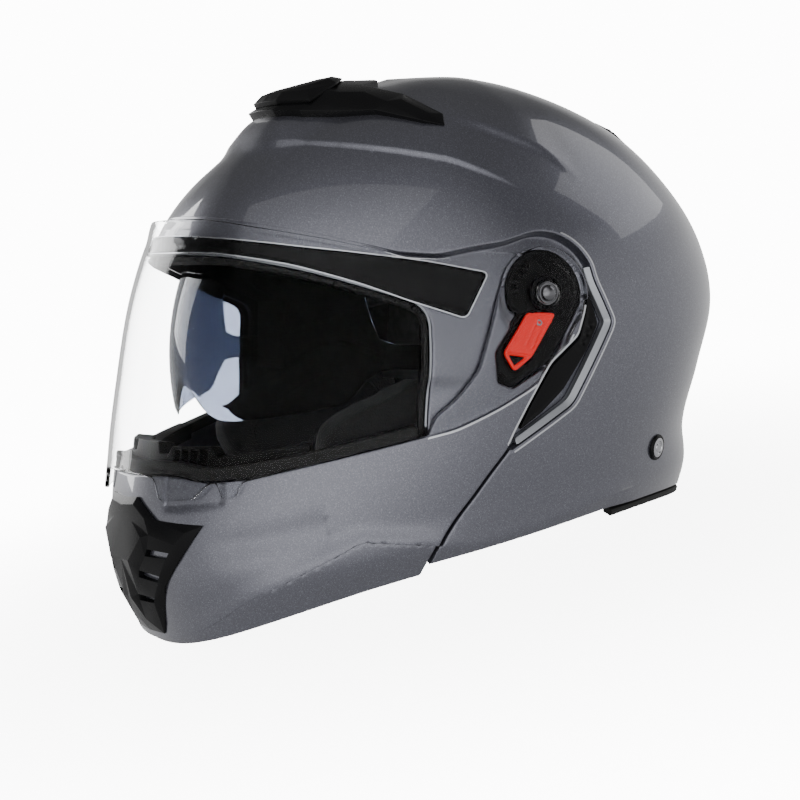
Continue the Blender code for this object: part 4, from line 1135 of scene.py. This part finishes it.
def make_lever_window(word):
    window = Outline(fillet(LEVER_WINDOW, 0.7))
    return shaped("lever_window_" + word, SATIN, lambda p: window(p) - 0.3, 2.65, 0.5, (79, 99), (0.58, 0.73),
                  pitch=0.5, edge=0.15)


def lathe(name, profile, mat, axis_at, direction, segments=48, sharp=35):
    """A turned piece. profile lists (distance along the axis, radius) in millimetres."""
    direction = Vector(direction).normalized()
    turn = Vector((0, 0, 1)).rotation_difference(direction).to_matrix()
    angles = np.linspace(0, 2 * math.pi, segments + 1)[:-1]
    points = []
    for high, radius in profile:
        for a in angles:
            points.append(turn @ Vector((radius * math.cos(a), radius * math.sin(a), high)) + Vector(axis_at))
    tris = []
    for row in range(len(profile) - 1):
        for c in range(segments):
            d = (c + 1) % segments
            a, b, e, f = (row * segments + c, row * segments + d, (row + 1) * segments + d,
                          (row + 1) * segments + c)
            tris += [(a, b, e), (a, e, f)]
    points = np.array([list(p) for p in points])
    tris = np.array(tris)
    first, tris = weld(points, tris)
    points = points[first]
    volume = np.einsum("ij,ij->i", points[tris[:, 0]], np.cross(points[tris[:, 1]], points[tris[:, 2]])).sum()
    return to_object(name, points, tris if volume > 0 else tris[:, ::-1], mat, sharp)


def dome_profile(radius, high, start, steps=10):
    return [(start + high * math.sin(t), radius * math.cos(t))
            for t in (math.pi / 2 * i / steps for i in range(steps + 1))]


def make_pivot_parts(word):
    head = [(121.4, 0.0), (121.4, 5.2), (122.6, 5.3), (123.0, 5.1), (123.05, 4.5)]
    head += [(122.6, 4.4), (122.55, 3.9)] + dome_profile(3.9, 2.6, 122.6)
    return lathe("pivot_screw_dome_" + word, head, DARK_CHROME, (0, *PIVOT), (1, 0, 0))


def make_hub(word):
    ring = [(118.8, 5.6), (118.8, 8.6), (120.6, 8.6), (121.0, 8.2), (121.0, 7.6), (120.3, 7.3), (120.3, 6.6),
            (121.1, 6.3), (121.1, 5.9), (120.9, 5.6), (118.8, 5.6)]
    return lathe("visor_hub_ring_" + word, ring, SATIN, (0, *PIVOT), (1, 0, 0), 60)


def make_lever_screw(word):
    head = [(118.6, 0.0), (118.6, 1.9), (120.9, 1.9), (121.3, 1.6), (121.35, 0.9), (120.8, 0.8), (120.8, 0.0)]
    return lathe("lever_screw_head_" + word, head, STEEL, (0, 16.8, 121.5), (1, 0, 0), 24)


def make_rivet(word):
    point, normal = skin_and_normals(np.array([math.radians(124)]), np.array([0.905]))
    profile = [(0.3, 0.0), (0.3, 4.9), (1.5, 4.9), (1.7, 4.6), (1.75, 3.4), (1.3, 3.1), (1.25, 2.2), (1.6, 1.9),
               (1.7, 0.0)]
    return lathe("rivet_head_" + word, profile, CHROME, tuple(point[0]), tuple(normal[0]))


def make_rivet_ring(word):
    point, normal = skin_and_normals(np.array([math.radians(124)]), np.array([0.905]))
    ring = [(0.2, 4.9), (0.2, 6.6), (0.7, 6.6), (1.3, 6.2), (1.5, 5.6), (1.3, 5.0), (0.8, 4.9), (0.2, 4.9)]
    return lathe("rivet_ring_" + word, ring, SATIN, tuple(point[0]), tuple(normal[0]))


# ------------------------------------------------------------------ vents
def fields_min(*parts):
    return lambda p: np.minimum.reduce([f(p) for f in parts])


TOP_VENT = [(-1, -46), (14, -45), (27, -38), (36, -29), (50, -11), (69, 4), (75, 12), (68, 16), (45, 9), (24, -2),
            (12, 13), (-1, 18)]
top_vent_plan = Outline(fillet(TOP_VENT, 1.0), "top")


def on_skin(field_axes, places, phi, v):
    """The surface's (phi, v) where it has the given two coordinates, found from a table and then refined."""
    a, b = np.meshgrid(np.radians(np.linspace(*phi, 240)), np.linspace(*v, 240), indexing="ij")
    uv = np.stack([a.ravel(), b.ravel()], 1)
    table = skin(uv[:, 0], uv[:, 1])[:, field_axes]
    places = np.array(places, float)
    found = np.array([uv[((table - q) ** 2).sum(1).argmin()] for q in places])
    for _ in range(6):
        here = skin(found[:, 0], found[:, 1])[:, field_axes]
        e = 1e-4
        du = (skin(found[:, 0] + e, found[:, 1])[:, field_axes] - here) / e
        dv = (skin(found[:, 0], found[:, 1] + e)[:, field_axes] - here) / e
        det = du[:, 0] * dv[:, 1] - du[:, 1] * dv[:, 0]
        det = np.where(np.abs(det) < 1e-3, 1e-3, det)
        miss = places - here
        step = np.stack([(miss[:, 0] * dv[:, 1] - miss[:, 1] * dv[:, 0]) / det,
                         (du[:, 0] * miss[:, 1] - du[:, 1] * miss[:, 0]) / det], 1)
        found = found + np.clip(step, -0.05, 0.05)
        found[:, 1] = np.clip(found[:, 1], 0.004, 1.0)
    return found


def faceted(name, outline, ridges, holes, axes, phi, v, mat, foot, bevel=0.45, lift=None):
    """A moulded cover made of flat facets, mirrored about the middle plane.

    outline lists (a, b, height) round one half, starting and ending on the middle plane. ridges lists more
    such points, and holes lists loops that sink by their own depth. foot is how deep its sides reach.
    """
    from mathutils.geometry import delaunay_2d_cdt
    points = list(outline) + list(ridges)
    count = len(outline)
    edges = [(i, i + 1) for i in range(count - 1)]
    for loop in holes:
        start = len(points)
        points += [(a, b, h) for a, b, h, _ in loop]
        inner = len(points)
        centre = np.mean([(a, b) for a, b, _, _ in loop], 0)
        for a, b, h, deep in loop:
            way = centre - (a, b)
            way = way / max(np.linalg.norm(way), 1e-6) * 0.45
            points.append((a + way[0], b + way[1], h - deep))
        n = len(loop)
        for base in (start, inner):
            edges += [(base + i, base + (i + 1) % n) for i in range(n)]
    flat = [Vector((a, b)) for a, b, _ in points]
    found = delaunay_2d_cdt(flat, edges, [tuple(range(count))], 1, 1e-5)
    verts, faces, origins = found[0], found[2], found[3]
    heights = []
    for index, vert in enumerate(verts):
        source = origins[index]
        if source:
            heights.append(points[source[0]][2])
        else:
            near = min(range(len(points)), key=lambda k: (flat[k] - vert).length)
            heights.append(points[near][2])
    places = [(q.x, q.y) for q in verts]
    uv = on_skin(axes, places, phi, v)
    p, n = skin_and_normals(uv[:, 0], uv[:, 1])
    rise = np.array(heights)
    if lift is not None:
        rise = rise + lift(p)
    top = p + n * rise[:, None]
    tris = []
    for face in faces:
        for k in range(1, len(face) - 1):
            tris.append((face[0], face[k], face[k + 1]))
    tris = np.array(tris)
    mirror = top * [-1, 1, 1]
    bottom_lift = 0 if lift is None else lift(p)
    bottom = p - n * (foot - bottom_lift * 0.9 if lift is not None else foot)[..., None] if lift is not None \
        else p - n * foot
    both_top = np.vstack([top, mirror])
    both_bottom = np.vstack([bottom, bottom * [-1, 1, 1]])
    both = np.vstack([tris, tris[:, ::-1] + len(top)])
    first, both = weld_pair(both_top, both)
    both_top, both_bottom = both_top[first], both_bottom[first]
    body, body_faces = closed_body(both_top, both_bottom, both)
    obj = to_object(name, body, body_faces, mat, 12)
    obj.data.shade_flat()
    rounding = obj.modifiers.new("rounding", "BEVEL")
    rounding.width = bevel * MM
    rounding.segments = 2
    rounding.limit_method = "ANGLE"
    rounding.angle_limit = math.radians(9)
    rounding.use_clamp_overlap = True
    apply_all(obj)
    obj.data.shade_smooth()
    obj.data.set_sharp_from_angle(angle=math.radians(28))
    return obj


def weld_pair(points, tris):
    """Joins the two halves along the middle plane."""
    return weld(points * [1, 1, 1], tris)


def make_top_vent():
    body = [(0, -46, 5.2), (14, -45, 5.0), (27, -38, 4.6), (36, -29, 4.2), (50, -11, 3.4), (69, 4, 2.2), (75, 12, 1.2),
            (68, 16, 1.0), (45, 9, 2.4), (24, -2, 4.2), (12, 13, 2.4), (0, 18, 1.8)]
    ridges = [(0, -20, 6.0), (18, -24, 6.0), (30, -18, 6.2), (34, -22, 5.0), (50, -4, 5.2), (52, 3, 4.6),
              (66, 9, 2.6), (0, 0, 5.0), (11, -2, 5.0), (36, -8, 5.8)]
    vent = faceted("top_vent_body", body, ridges, [], [0, 1], (0.5, 179.5), (0.004, 0.40), SATIN, 0.6, lift=scoop)
    place(vent, "shell", "black_gloss", "top_vent_base")
    # A silver strip under the vent's outer edge: a painted highlight along that edge.
    line = edge_line("top_vent_line", top_vent_plan, lambda q, p: -0.25 - scoop(p), -1.0, -0.3, (-180, 180),
                     (0.0, 0.36), 0.5, keep=lambda p: np.abs(p[..., 0]) - 30.0, pitch=1.4)
    place(line, "shell", "chrome")
    plate = [(0, -42, 7.6), (13, -41, 7.4), (27, -32, 6.8), (22, -14, 6.6), (9, -4, 6.2), (0, -1, 6.4)]
    top = [(0, -37, 9.4), (12, -36, 9.0), (22, -29, 8.4), (18, -15, 8.0), (7, -8, 7.6), (0, -6, 7.6), (0, -31, 8.2),
           (10, -30, 8.0), (17, -26, 7.8)]
    slider = faceted("top_vent_slide", plate, top, [], [0, 1], (0.5, 179.5), (0.004, 0.40), MATTE, -5.6, lift=scoop)
    place(slider, "top_vent_slider", "black_matte", "top_vent_slider")


def make_chin_vent():
    outline = [(0, 73, 1.4), (16, 74, 1.4), (27, 67, 1.4), (32, 63.5, 1.4), (58, 60, 1.2), (45, 44, 1.4),
               (34, 32, 1.4), (17, 6, 1.6), (0, 6, 1.8)]
    ridges = [(0, 69.5, 2.6), (14.5, 70.5, 2.6), (25, 64.5, 2.6), (0, 62, 2.2), (13, 62.5, 2.4), (22, 60, 2.4),
              (24, 56, 4.8), (12, 44, 5.6), (5, 26, 5.4), (0, 44, 4.2), (0, 26, 4.6), (8, 14, 3.6), (0, 12, 3.6),
              (50, 57.5, 2.2), (44, 52, 2.4), (29, 57, 3.4)]
    holes = []
    for corners in ([(26, 50), (40.5, 48.2), (38.5, 45.4), (24, 46.6)], [(17.5, 39.6), (33, 37.2), (31, 34.2), (16, 36.2)],
                    [(11, 27.4), (25, 26.4), (23, 23.6), (10, 24.2)]):
        holes.append([(a, b, 3.6 - 0.035 * a, 3.2) for a, b in corners])
    vent = faceted("chin_vent_body", outline, ridges, holes, [0, 2], (0.0, 52), (0.72, 1.0), SATIN, 0.3)
    place(vent, "chin_bar", "black_gloss", "chin_vent")


def make_exhaust():
    outline = Outline(fillet([(-1, 204), (30, 204), (40, 196), (24, 160), (-1, 160)], 3), "front")

    def field(p):
        return np.minimum(outline(p), p[..., 1] - 80)

    def relief(uv, p, gap):
        z = p[..., 2]
        louvres = 1.5 * (np.mod(z - 163, 8.0) / 8.0) * smooth(2.5, 4.5, gap)
        return -1.6 * smooth(0, 6, gap) + louvres

    exhaust = shaped("rear_exhaust_louvred", MATTE, field, -1.6, 1.2, (138, 222), (0.28, 0.64), pitch=0.9,
                     edge=0.8, relief=relief, sharp=28)
    place(exhaust, "shell", "black_matte", "rear_exhaust")


make_shell()
make_chin_bar()
make_visor()
make_brow()
make_gasket()
make_seal()
both_sides(make_side_trim, "shell", "black_gloss", ["side_trim"])
both_sides(make_wedge_frame, "shell", "paint_gunmetal", [])
both_sides(make_recess_line, "shell", "chrome", [])
both_sides(make_arm_line, "chin_bar", "chrome", [])
both_sides(make_pocket_line, "chin_bar", "chrome", [])
make_port_line()
both_sides(make_plate, "chin_bar", "black_gloss", ["base_plate"])
both_sides(make_lever, "release_lever_SIDE", "lever_red", ["release_lever"])
both_sides(make_lever_window, "release_lever_SIDE", "black_gloss", [])
both_sides(make_pivot_parts, "shell", "chrome", ["pivot_screw"])
both_sides(make_hub, "visor", "black_matte", ["visor_hub"])
both_sides(make_lever_screw, "chin_bar", "steel", ["lever_screw"])
both_sides(make_rivet, "shell", "chrome", ["strap_rivet"])
both_sides(make_rivet_ring, "shell", "black_gloss", [])
make_exhaust()


# ------------------------------------------------------------------ the sun visor
def sun_radius(x):
    return SUN_R * np.sqrt(1 - (x / SUN_HALF_WIDTH) ** 2)


def sun_span(x, r):
    """The angles between which the sun visor stands at one place across it."""
    nose = 8.0 * math.exp(-((x / 17) ** 2))
    arm_half = math.degrees(6.0 / max(r, 8.0))
    narrow = float(smooth(84, 98, abs(x)))
    low = (-2 + nose) * (1 - narrow) + (14 - arm_half) * narrow
    high = 42 * (1 - narrow) + (14 + arm_half) * narrow
    return low, high


def make_sun_visor():
    lens = [(x, float(sun_radius(x))) for x in np.linspace(-84, 84, 85)]
    arm = [(87, float(sun_radius(87))), (90.5, float(sun_radius(90.5))), (93, float(sun_radius(93))), (95.5, 69),
           (98, 62), (99.7, 55), (SUN_ARM_X, 48), (SUN_ARM_X, 38), (SUN_ARM_X, 28), (SUN_ARM_X, 18), (SUN_ARM_X, 8)]
    profile = [(-x, r) for x, r in arm[::-1]] + lens + arm
    rows = 26
    sheets = ([], [])
    for index, (x, r) in enumerate(profile):
        before = profile[max(index - 1, 0)]
        after = profile[min(index + 1, len(profile) - 1)]
        along = Vector((after[0] - before[0], after[1] - before[1])).normalized()
        normal = Vector((-along.y, along.x))
        low, high = sun_span(x, r)
        for row in range(rows):
            share = row / (rows - 1)
            edge = min(share, 1 - share) * (high - low) * r * math.pi / 180
            half = 1.0 - 0.75 * max(0.0, 1 - edge / 1.2) ** 2
            angle = math.radians(low + (high - low) * share)
            for sheet, sign in zip(sheets, (1, -1)):
                a, b = x + normal.x * half * sign, r + normal.y * half * sign
                sheet.append((a, SUN_Y - b * math.cos(angle), SUN_Z + b * math.sin(angle)))
    tris = []
    for c in range(len(profile) - 1):
        for r in range(rows - 1):
            k = c * rows + r
            tris += [(k, k + rows, k + rows + 1), (k, k + rows + 1, k + 1)]
    points, faces = closed_body(np.array(sheets[0]), np.array(sheets[1]), np.array(tris))
    lens_body = to_object("sun_visor_lens", points, faces, SMOKE, 50)
    place(lens_body, "sun_visor", "sun_smoke", "sun_visor")
    for word, side in (("left", 1), ("right", -1)):
        ring = [(99.0, 3.4), (99.0, 8.4), (99.5, 8.8), (101.5, 8.8), (102.0, 8.4), (102.0, 3.4), (99.0, 3.4)]
        hub = lathe("sun_visor_hub_" + word, ring, SATIN, (0, SUN_Y, SUN_Z), (side, 0, 0), 48)
        place(hub, "sun_visor", "black_matte")


# ------------------------------------------------------------------ swept edges
def skin_sweep(name, phi, level, section, mat, steps=120, closed_ends=True, sharp=40):
    """A closed section carried along the surface at one level. The section holds (out, down) in millimetres."""
    angles = np.radians(np.linspace(phi[0], phi[1], steps + 1))
    levels = np.full_like(angles, level)
    p, n = skin_and_normals(angles, levels)
    across = np.gradient(p, axis=0)
    across /= np.linalg.norm(across, axis=1, keepdims=True)
    down = np.cross(across, n)
    down *= np.sign(-down[:, 2:3])
    return sweep_body(name, p, n, down, section, mat, sharp)


def sweep_body(name, centre, out, down, section, mat, sharp=40):
    section = np.array(section, float)
    count = len(section)
    rows = len(centre)
    points = (centre[:, None] + out[:, None] * section[None, :, :1] + down[:, None] * section[None, :, 1:]).reshape(-1, 3)
    tris = []
    for r in range(rows - 1):
        for c in range(count):
            d = (c + 1) % count
            a, b, e, f = r * count + c, r * count + d, (r + 1) * count + d, (r + 1) * count + c
            tris += [(a, b, e), (a, e, f)]
    for start, turn in ((0, 1), ((rows - 1) * count, -1)):
        for c in range(1, count - 1):
            tri = (start, start + c + 1, start + c)
            tris.append(tri[::turn])
    tris = np.array(tris)
    volume = np.einsum("ij,ij->i", points[tris[:, 0]], np.cross(points[tris[:, 1]], points[tris[:, 2]])).sum()
    return to_object(name, points, tris if volume > 0 else tris[:, ::-1], mat, sharp)


def round_section(out, down, radius, steps=5):
    """A rectangle with rounded corners, between two distances outward and two downward."""
    corners = [(out[1], down[1], 0), (out[0], down[1], 90), (out[0], down[0], 180), (out[1], down[0], 270)]
    points = []
    for a, b, start in corners:
        ca = a - radius if a == max(out) else a + radius
        cb = b - radius if b == max(down) else b + radius
        for i in range(steps + 1):
            t = math.radians(start + 90 * i / steps)
            points.append((ca + radius * math.cos(t), cb + radius * math.sin(t)))
    return points


def make_rim_trim():
    section = round_section((-5.2, 0.6), (0.0, 3.4), 1.2)
    groove = [(a - (0.5 if abs(b - 1.7) < 0.5 else 0), b) for a, b in section]
    trim = skin_sweep("rim_trim_bead", (112, 248), 0.9895, groove, RUBBER)
    place(trim, "shell", "rubber", "rim_trim")


# ------------------------------------------------------------------ padding
def soft_copy(name, source, voxel, cap, pressure=4.0, shrink=0.8):
    """A CAD pad's shape, filled out like a stuffed cover by a short cloth run."""
    mesh = NODES[source].data.copy()
    obj = bpy.data.objects.new(name, mesh)
    bpy.context.scene.collection.objects.link(obj)
    bpy.context.view_layer.objects.active = obj
    remesh = obj.modifiers.new("remesh", "REMESH")
    remesh.mode = "VOXEL"
    remesh.voxel_size = voxel * MM * 1.0
    apply_all(obj)
    mesh = obj.data
    count = len(mesh.vertices)
    start = np.empty(count * 3, np.float32)
    mesh.vertices.foreach_get("co", start)
    normals = np.empty(count * 3, np.float32)
    mesh.vertices.foreach_get("normal", normals)
    start = start.reshape(-1, 3) - normals.reshape(-1, 3) * shrink * MM
    mesh.vertices.foreach_set("co", start.ravel())
    mesh.update()
    cloth_run(obj, pressure)
    moved = np.empty(count * 3, np.float32)
    obj.data.vertices.foreach_get("co", moved)
    shift = moved.reshape(-1, 3) - start
    length = np.linalg.norm(shift, axis=1, keepdims=True)
    shift *= np.minimum(1.0, cap * MM / np.maximum(length, 1e-9))
    obj.data.vertices.foreach_set("co", (start + shift).ravel())
    obj.data.update()
    smoother = obj.modifiers.new("soften", "SMOOTH")
    smoother.factor = 0.5
    smoother.iterations = 3
    finer = obj.modifiers.new("finer", "SUBSURF")
    finer.levels = finer.render_levels = 1
    apply_all(obj)
    obj.data.shade_smooth()
    return obj


def apply_all(obj):
    graph = bpy.context.evaluated_depsgraph_get()
    made = bpy.data.meshes.new_from_object(obj.evaluated_get(graph), depsgraph=graph)
    obj.modifiers.clear()
    obj.data = made


def cloth_run(obj, pressure):
    modifier = obj.modifiers.new("stuffing", "CLOTH")
    settings = modifier.settings
    settings.use_pressure = True
    settings.uniform_pressure_force = pressure
    settings.effector_weights.gravity = 0
    settings.quality = 4
    settings.mass = 0.3
    settings.tension_stiffness = 25
    settings.compression_stiffness = 25
    settings.shear_stiffness = 8
    settings.bending_stiffness = 1.5
    modifier.collision_settings.use_self_collision = False
    modifier.point_cache.frame_start = 1
    modifier.point_cache.frame_end = 20
    scene = bpy.context.scene
    for frame_number in range(1, 21):
        scene.frame_set(frame_number)
    apply_all(obj)
    scene.frame_set(1)


def surface_tree(obj):
    from mathutils.bvhtree import BVHTree
    mesh = obj.data
    return BVHTree.FromPolygons([v.co.copy() for v in mesh.vertices], [tuple(p.vertices) for p in mesh.polygons])


def crease_along(obj, points, deep=1.1, wide=3.4):
    """Presses a stitched line into a pad: its surface sinks near the given points."""
    mesh = obj.data
    count = len(mesh.vertices)
    co = np.empty(count * 3, np.float32)
    no = np.empty(count * 3, np.float32)
    mesh.vertices.foreach_get("co", co)
    mesh.vertices.foreach_get("normal", no)
    co, no = co.reshape(-1, 3), no.reshape(-1, 3)
    line = np.array([list(p) for p in points])
    gap = np.full(count, 1e9)
    for q in line:
        gap = np.minimum(gap, np.linalg.norm(co - q, axis=1))
    sink = deep * MM * np.exp(-((gap / (wide * MM)) ** 2))
    mesh.vertices.foreach_set("co", (co - no * sink[:, None]).ravel())
    mesh.update()


def cord_along(name, points, radius, mat, closed=False):
    """A thin round cord through the points, in metres, as piping or stitching."""
    data = bpy.data.curves.new(name, "CURVE")
    data.dimensions = "3D"
    data.bevel_depth = radius * MM
    data.bevel_resolution = 2
    data.use_fill_caps = True
    spline = data.splines.new("POLY")
    spline.points.add(len(points) - 1)
    for point, co in zip(spline.points, points):
        point.co = (*co, 1)
    spline.use_cyclic_u = closed
    curve = bpy.data.objects.new(name, data)
    bpy.context.scene.collection.objects.link(curve)
    graph = bpy.context.evaluated_depsgraph_get()
    mesh = bpy.data.meshes.new_from_object(curve.evaluated_get(graph), depsgraph=graph)
    bpy.data.objects.remove(curve, do_unlink=True)
    mesh.name = name
    obj = bpy.data.objects.new(name, mesh)
    bpy.context.scene.collection.objects.link(obj)
    mesh.materials.clear()
    mesh.materials.append(mat)
    mesh.shade_smooth()
    return obj


def evenly(points, pitch):
    """Points a fixed distance apart along a line."""
    line = np.array([list(p) for p in points], float)
    lengths = np.concatenate([[0], np.cumsum(np.linalg.norm(np.diff(line, axis=0), axis=1))])
    count = max(2, int(lengths[-1] / pitch))
    at = np.linspace(0, lengths[-1], count)
    return np.stack([np.interp(at, lengths, line[:, k]) for k in range(3)], 1)


def cast(tree, origins, direction):
    hits = []
    for origin in origins:
        hit = tree.ray_cast(Vector(origin), Vector(direction))
        if hit[0] is not None:
            hits.append(hit[0])
    return hits


CHEEK = [(-84, 88), (-62, 99), (-30, 108), (4, 112), (32, 94), (34, 52), (16, 30), (-40, 24), (-74, 44)]


def make_cheek_pads():
    for word, side in (("left", 1), ("right", -1)):
        pad = soft_copy("cheek_cushion_" + word, "cheek_pad_" + word, 4.5, 6.0)
        pad.data.materials.clear()
        pad.data.materials.append(KNIT)
        loop = fillet([((y + 25) * 0.74 - 25, (z - 66) * 0.70 + 66) for y, z in CHEEK], 10)
        loop.append(loop[0])
        tree = surface_tree(pad)
        seam = cast(tree, [(0.0, y * MM, z * MM) for y, z in loop], (side, 0, 0))
        if len(seam) > 8:
            seam = evenly(seam, 0.0022)
            crease_along(pad, seam)
            tree = surface_tree(pad)
            lying = [tree.find_nearest(Vector(q))[0] for q in seam]
            piping = cord_along("cheek_piping_" + word, lying, 0.55, KNIT, closed=True)
            place(piping, "shell", "liner_cloth")
        place(pad, "shell", "liner_cloth", "cheek_pad_" + word)


def make_crown_pad():
    pad = soft_copy("crown_cushion", "crown_pad", 4.0, 5.0, pressure=3.0, shrink=0.6)
    pad.data.materials.clear()
    pad.data.materials.append(MESH_CLOTH)
    centre = Vector((0, 0.026, 0.133))
    tree = surface_tree(pad)
    seams = []
    for lean in (-34, 34):
        line = []
        for turn in range(-60, 100, 3):
            a, b = math.radians(turn), math.radians(lean)
            way = Vector((math.sin(b), math.sin(a) * math.cos(b), math.cos(a) * math.cos(b)))
            hit = tree.ray_cast(centre, way)
            if hit[0] is not None and hit[0].z > 0.128:
                line.append(hit[0])
        if len(line) > 8:
            seams.append(evenly(line, 0.0022))
    for line in seams:
        crease_along(pad, line, 0.8, 3.0)
    tree = surface_tree(pad)
    for index, line in enumerate(seams):
        lying = [tree.find_nearest(Vector(q))[0] for q in line]
        piping = cord_along("crown_piping_%d" % index, lying, 0.5, KNIT)
        place(piping, "shell", "liner_cloth")
    place(pad, "shell", "liner_cloth", "crown_pad")


def make_neck_roll():
    pad = soft_copy("neck_cushion", "neck_roll", 4.0, 5.0, pressure=3.0)
    pad.data.materials.clear()
    pad.data.materials.append(KNIT)
    tree = surface_tree(pad)
    angles = np.radians(np.linspace(118, 242, 70))
    p, n = skin_and_normals(angles, np.full_like(angles, 0.965))
    under = (p - n * 17.0) * MM
    under[:, 2] = -0.02
    seam = cast(tree, under, (0, 0, 1))
    if len(seam) > 8:
        seam = evenly(seam, 0.0022)
        crease_along(pad, seam)
        tree = surface_tree(pad)
        lying = [tree.find_nearest(Vector(q))[0] for q in seam]
        place(cord_along("neck_piping", lying, 0.6, KNIT), "shell", "liner_cloth")
    place(pad, "shell", "liner_cloth", "neck_roll")


# ------------------------------------------------------------------ straps, guard and liner of the chin
def make_straps():
    path = [(72, 40, 25), (68, 34, 20), (60, 27, 15.5), (48, 19, 12), (36, 13, 10.5), (27, 10, 10)]
    for word, side in (("left", 1), ("right", -1)):
        line = evenly([(side * x, y, z) for x, y, z in path], 1.6)
        line = np.stack([np.convolve(np.pad(line[:, k], 3, "edge"), np.ones(7) / 7, "valid") for k in range(3)], 1)
        ahead = np.gradient(line, axis=0)
        ahead /= np.linalg.norm(ahead, axis=1, keepdims=True)
        across = np.tile([0.0, 1.0, 0.0], (len(line), 1))
        up = np.cross(ahead, across)
        up /= np.linalg.norm(up, axis=1, keepdims=True)
        section = [(math.copysign(abs(math.cos(t)) ** 0.5, math.cos(t)) * 1.05,
                    math.copysign(abs(math.sin(t)) ** 0.35, math.sin(t)) * 9.8)
                   for t in np.linspace(0, 2 * math.pi, 33)[:-1]]
        strap = sweep_body("chin_webbing_" + word, line, up, across, section, WEBBING, 60)
        place(strap, "shell", "webbing", "chin_strap_" + word)
        for row, offset in enumerate((-7.6, 7.6)):
            stitch = (line + up * 1.15 * np.sign(up[:, 2:3]) + across * offset) * MM
            place(cord_along("webbing_stitch_%s_%d" % (word, row), stitch[2:-2], 0.28, KNIT), "shell", "webbing")


GUARD_TOP = ((0, 14, 16, 23, 27, 50, 54, 60), (97.5, 97.5, 92, 91, 95.5, 94.5, 89.5, 89))


def make_guard():
    """The breath guard: a block in the middle and an open grille on each side of it."""
    outline = Outline(fillet([(-160, 79.5), (-90, 81), (-90, 98), (-160, 98)], 2))

    def field(p):
        x, z = np.abs(p[..., 0]), p[..., 2]
        body = np.minimum(outline(p), np.interp(x, *GUARD_TOP) - z)
        for low in (28.5, 34.0, 39.5, 45.0):
            hole = np.minimum(np.minimum(x - low, low + 4.2 - x), np.minimum(z - 84.0, np.interp(x, *GUARD_TOP) - 1.6 - z))
            body = np.minimum(body, -hole)
        return body

    guard = shaped("breath_guard_grille", MATTE, field, 8.5, 9.0, (-46, 46), (0.72, 0.90), pitch=1.0, edge=0.6,
                   inner_edge=0.6)
    place(guard, "chin_bar", "black_matte", "breath_guard")


def make_chin_liner():
    def field(p):
        z = p[..., 2]
        return np.minimum(np.minimum(z - 20, 72 - z), 98 - np.abs(p[..., 0]))

    liner = shaped("chin_foam", FOAM, field, 8.5, 11.5, (-50, 50), (0.84, 0.97), pitch=2.0, edge=2.0, inner_edge=2.5)
    place(liner, "chin_bar", "foam", "chin_liner")


# ------------------------------------------------------------------ CAD pieces that stay, with softened edges
def soften(name, mat, width, segments=2):
    obj = NODES[name]
    if not obj.material_slots:
        obj.data.materials.append(mat)
    for slot in obj.material_slots:
        slot.link = "OBJECT"
        slot.material = mat
    if width:
        bevel = obj.modifiers.new("soft_edges", "BEVEL")
        bevel.width = width * MM
        bevel.segments = segments
        bevel.limit_method = "ANGLE"
        bevel.angle_limit = math.radians(35)
        bevel.use_clamp_overlap = True
        bevel.harden_normals = False


make_top_vent()
make_chin_vent()
make_sun_visor()
make_rim_trim()
make_cheek_pads()
make_crown_pad()
make_neck_roll()
make_straps()
make_guard()
make_chin_liner()
soften("eps_liner", FOAM, 0)
soften("chin_vent_shutter", MATTE, 0.4)
soften("release_button", RED_WITH_PAINTED_GLOW, 1.0, 3)
soften("sun_visor_slider", MATTE, 0.9, 3)
soften("buckle_body", MATTE, 1.0, 3)
soften("buckle_lever", RED_WITH_PAINTED_GLOW, 0.6, 3)
soften("buckle_tongue", STEEL, 0.25)
for side_word in ("left", "right"):
    soften("pivot_boss_" + side_word, STEEL, 0.2)
    soften("sun_visor_post_" + side_word, STEEL, 0.3)
    soften("latch_pin_" + side_word, STEEL, 0.3)
    soften("latch_hook_" + side_word, STEEL, 0.4)
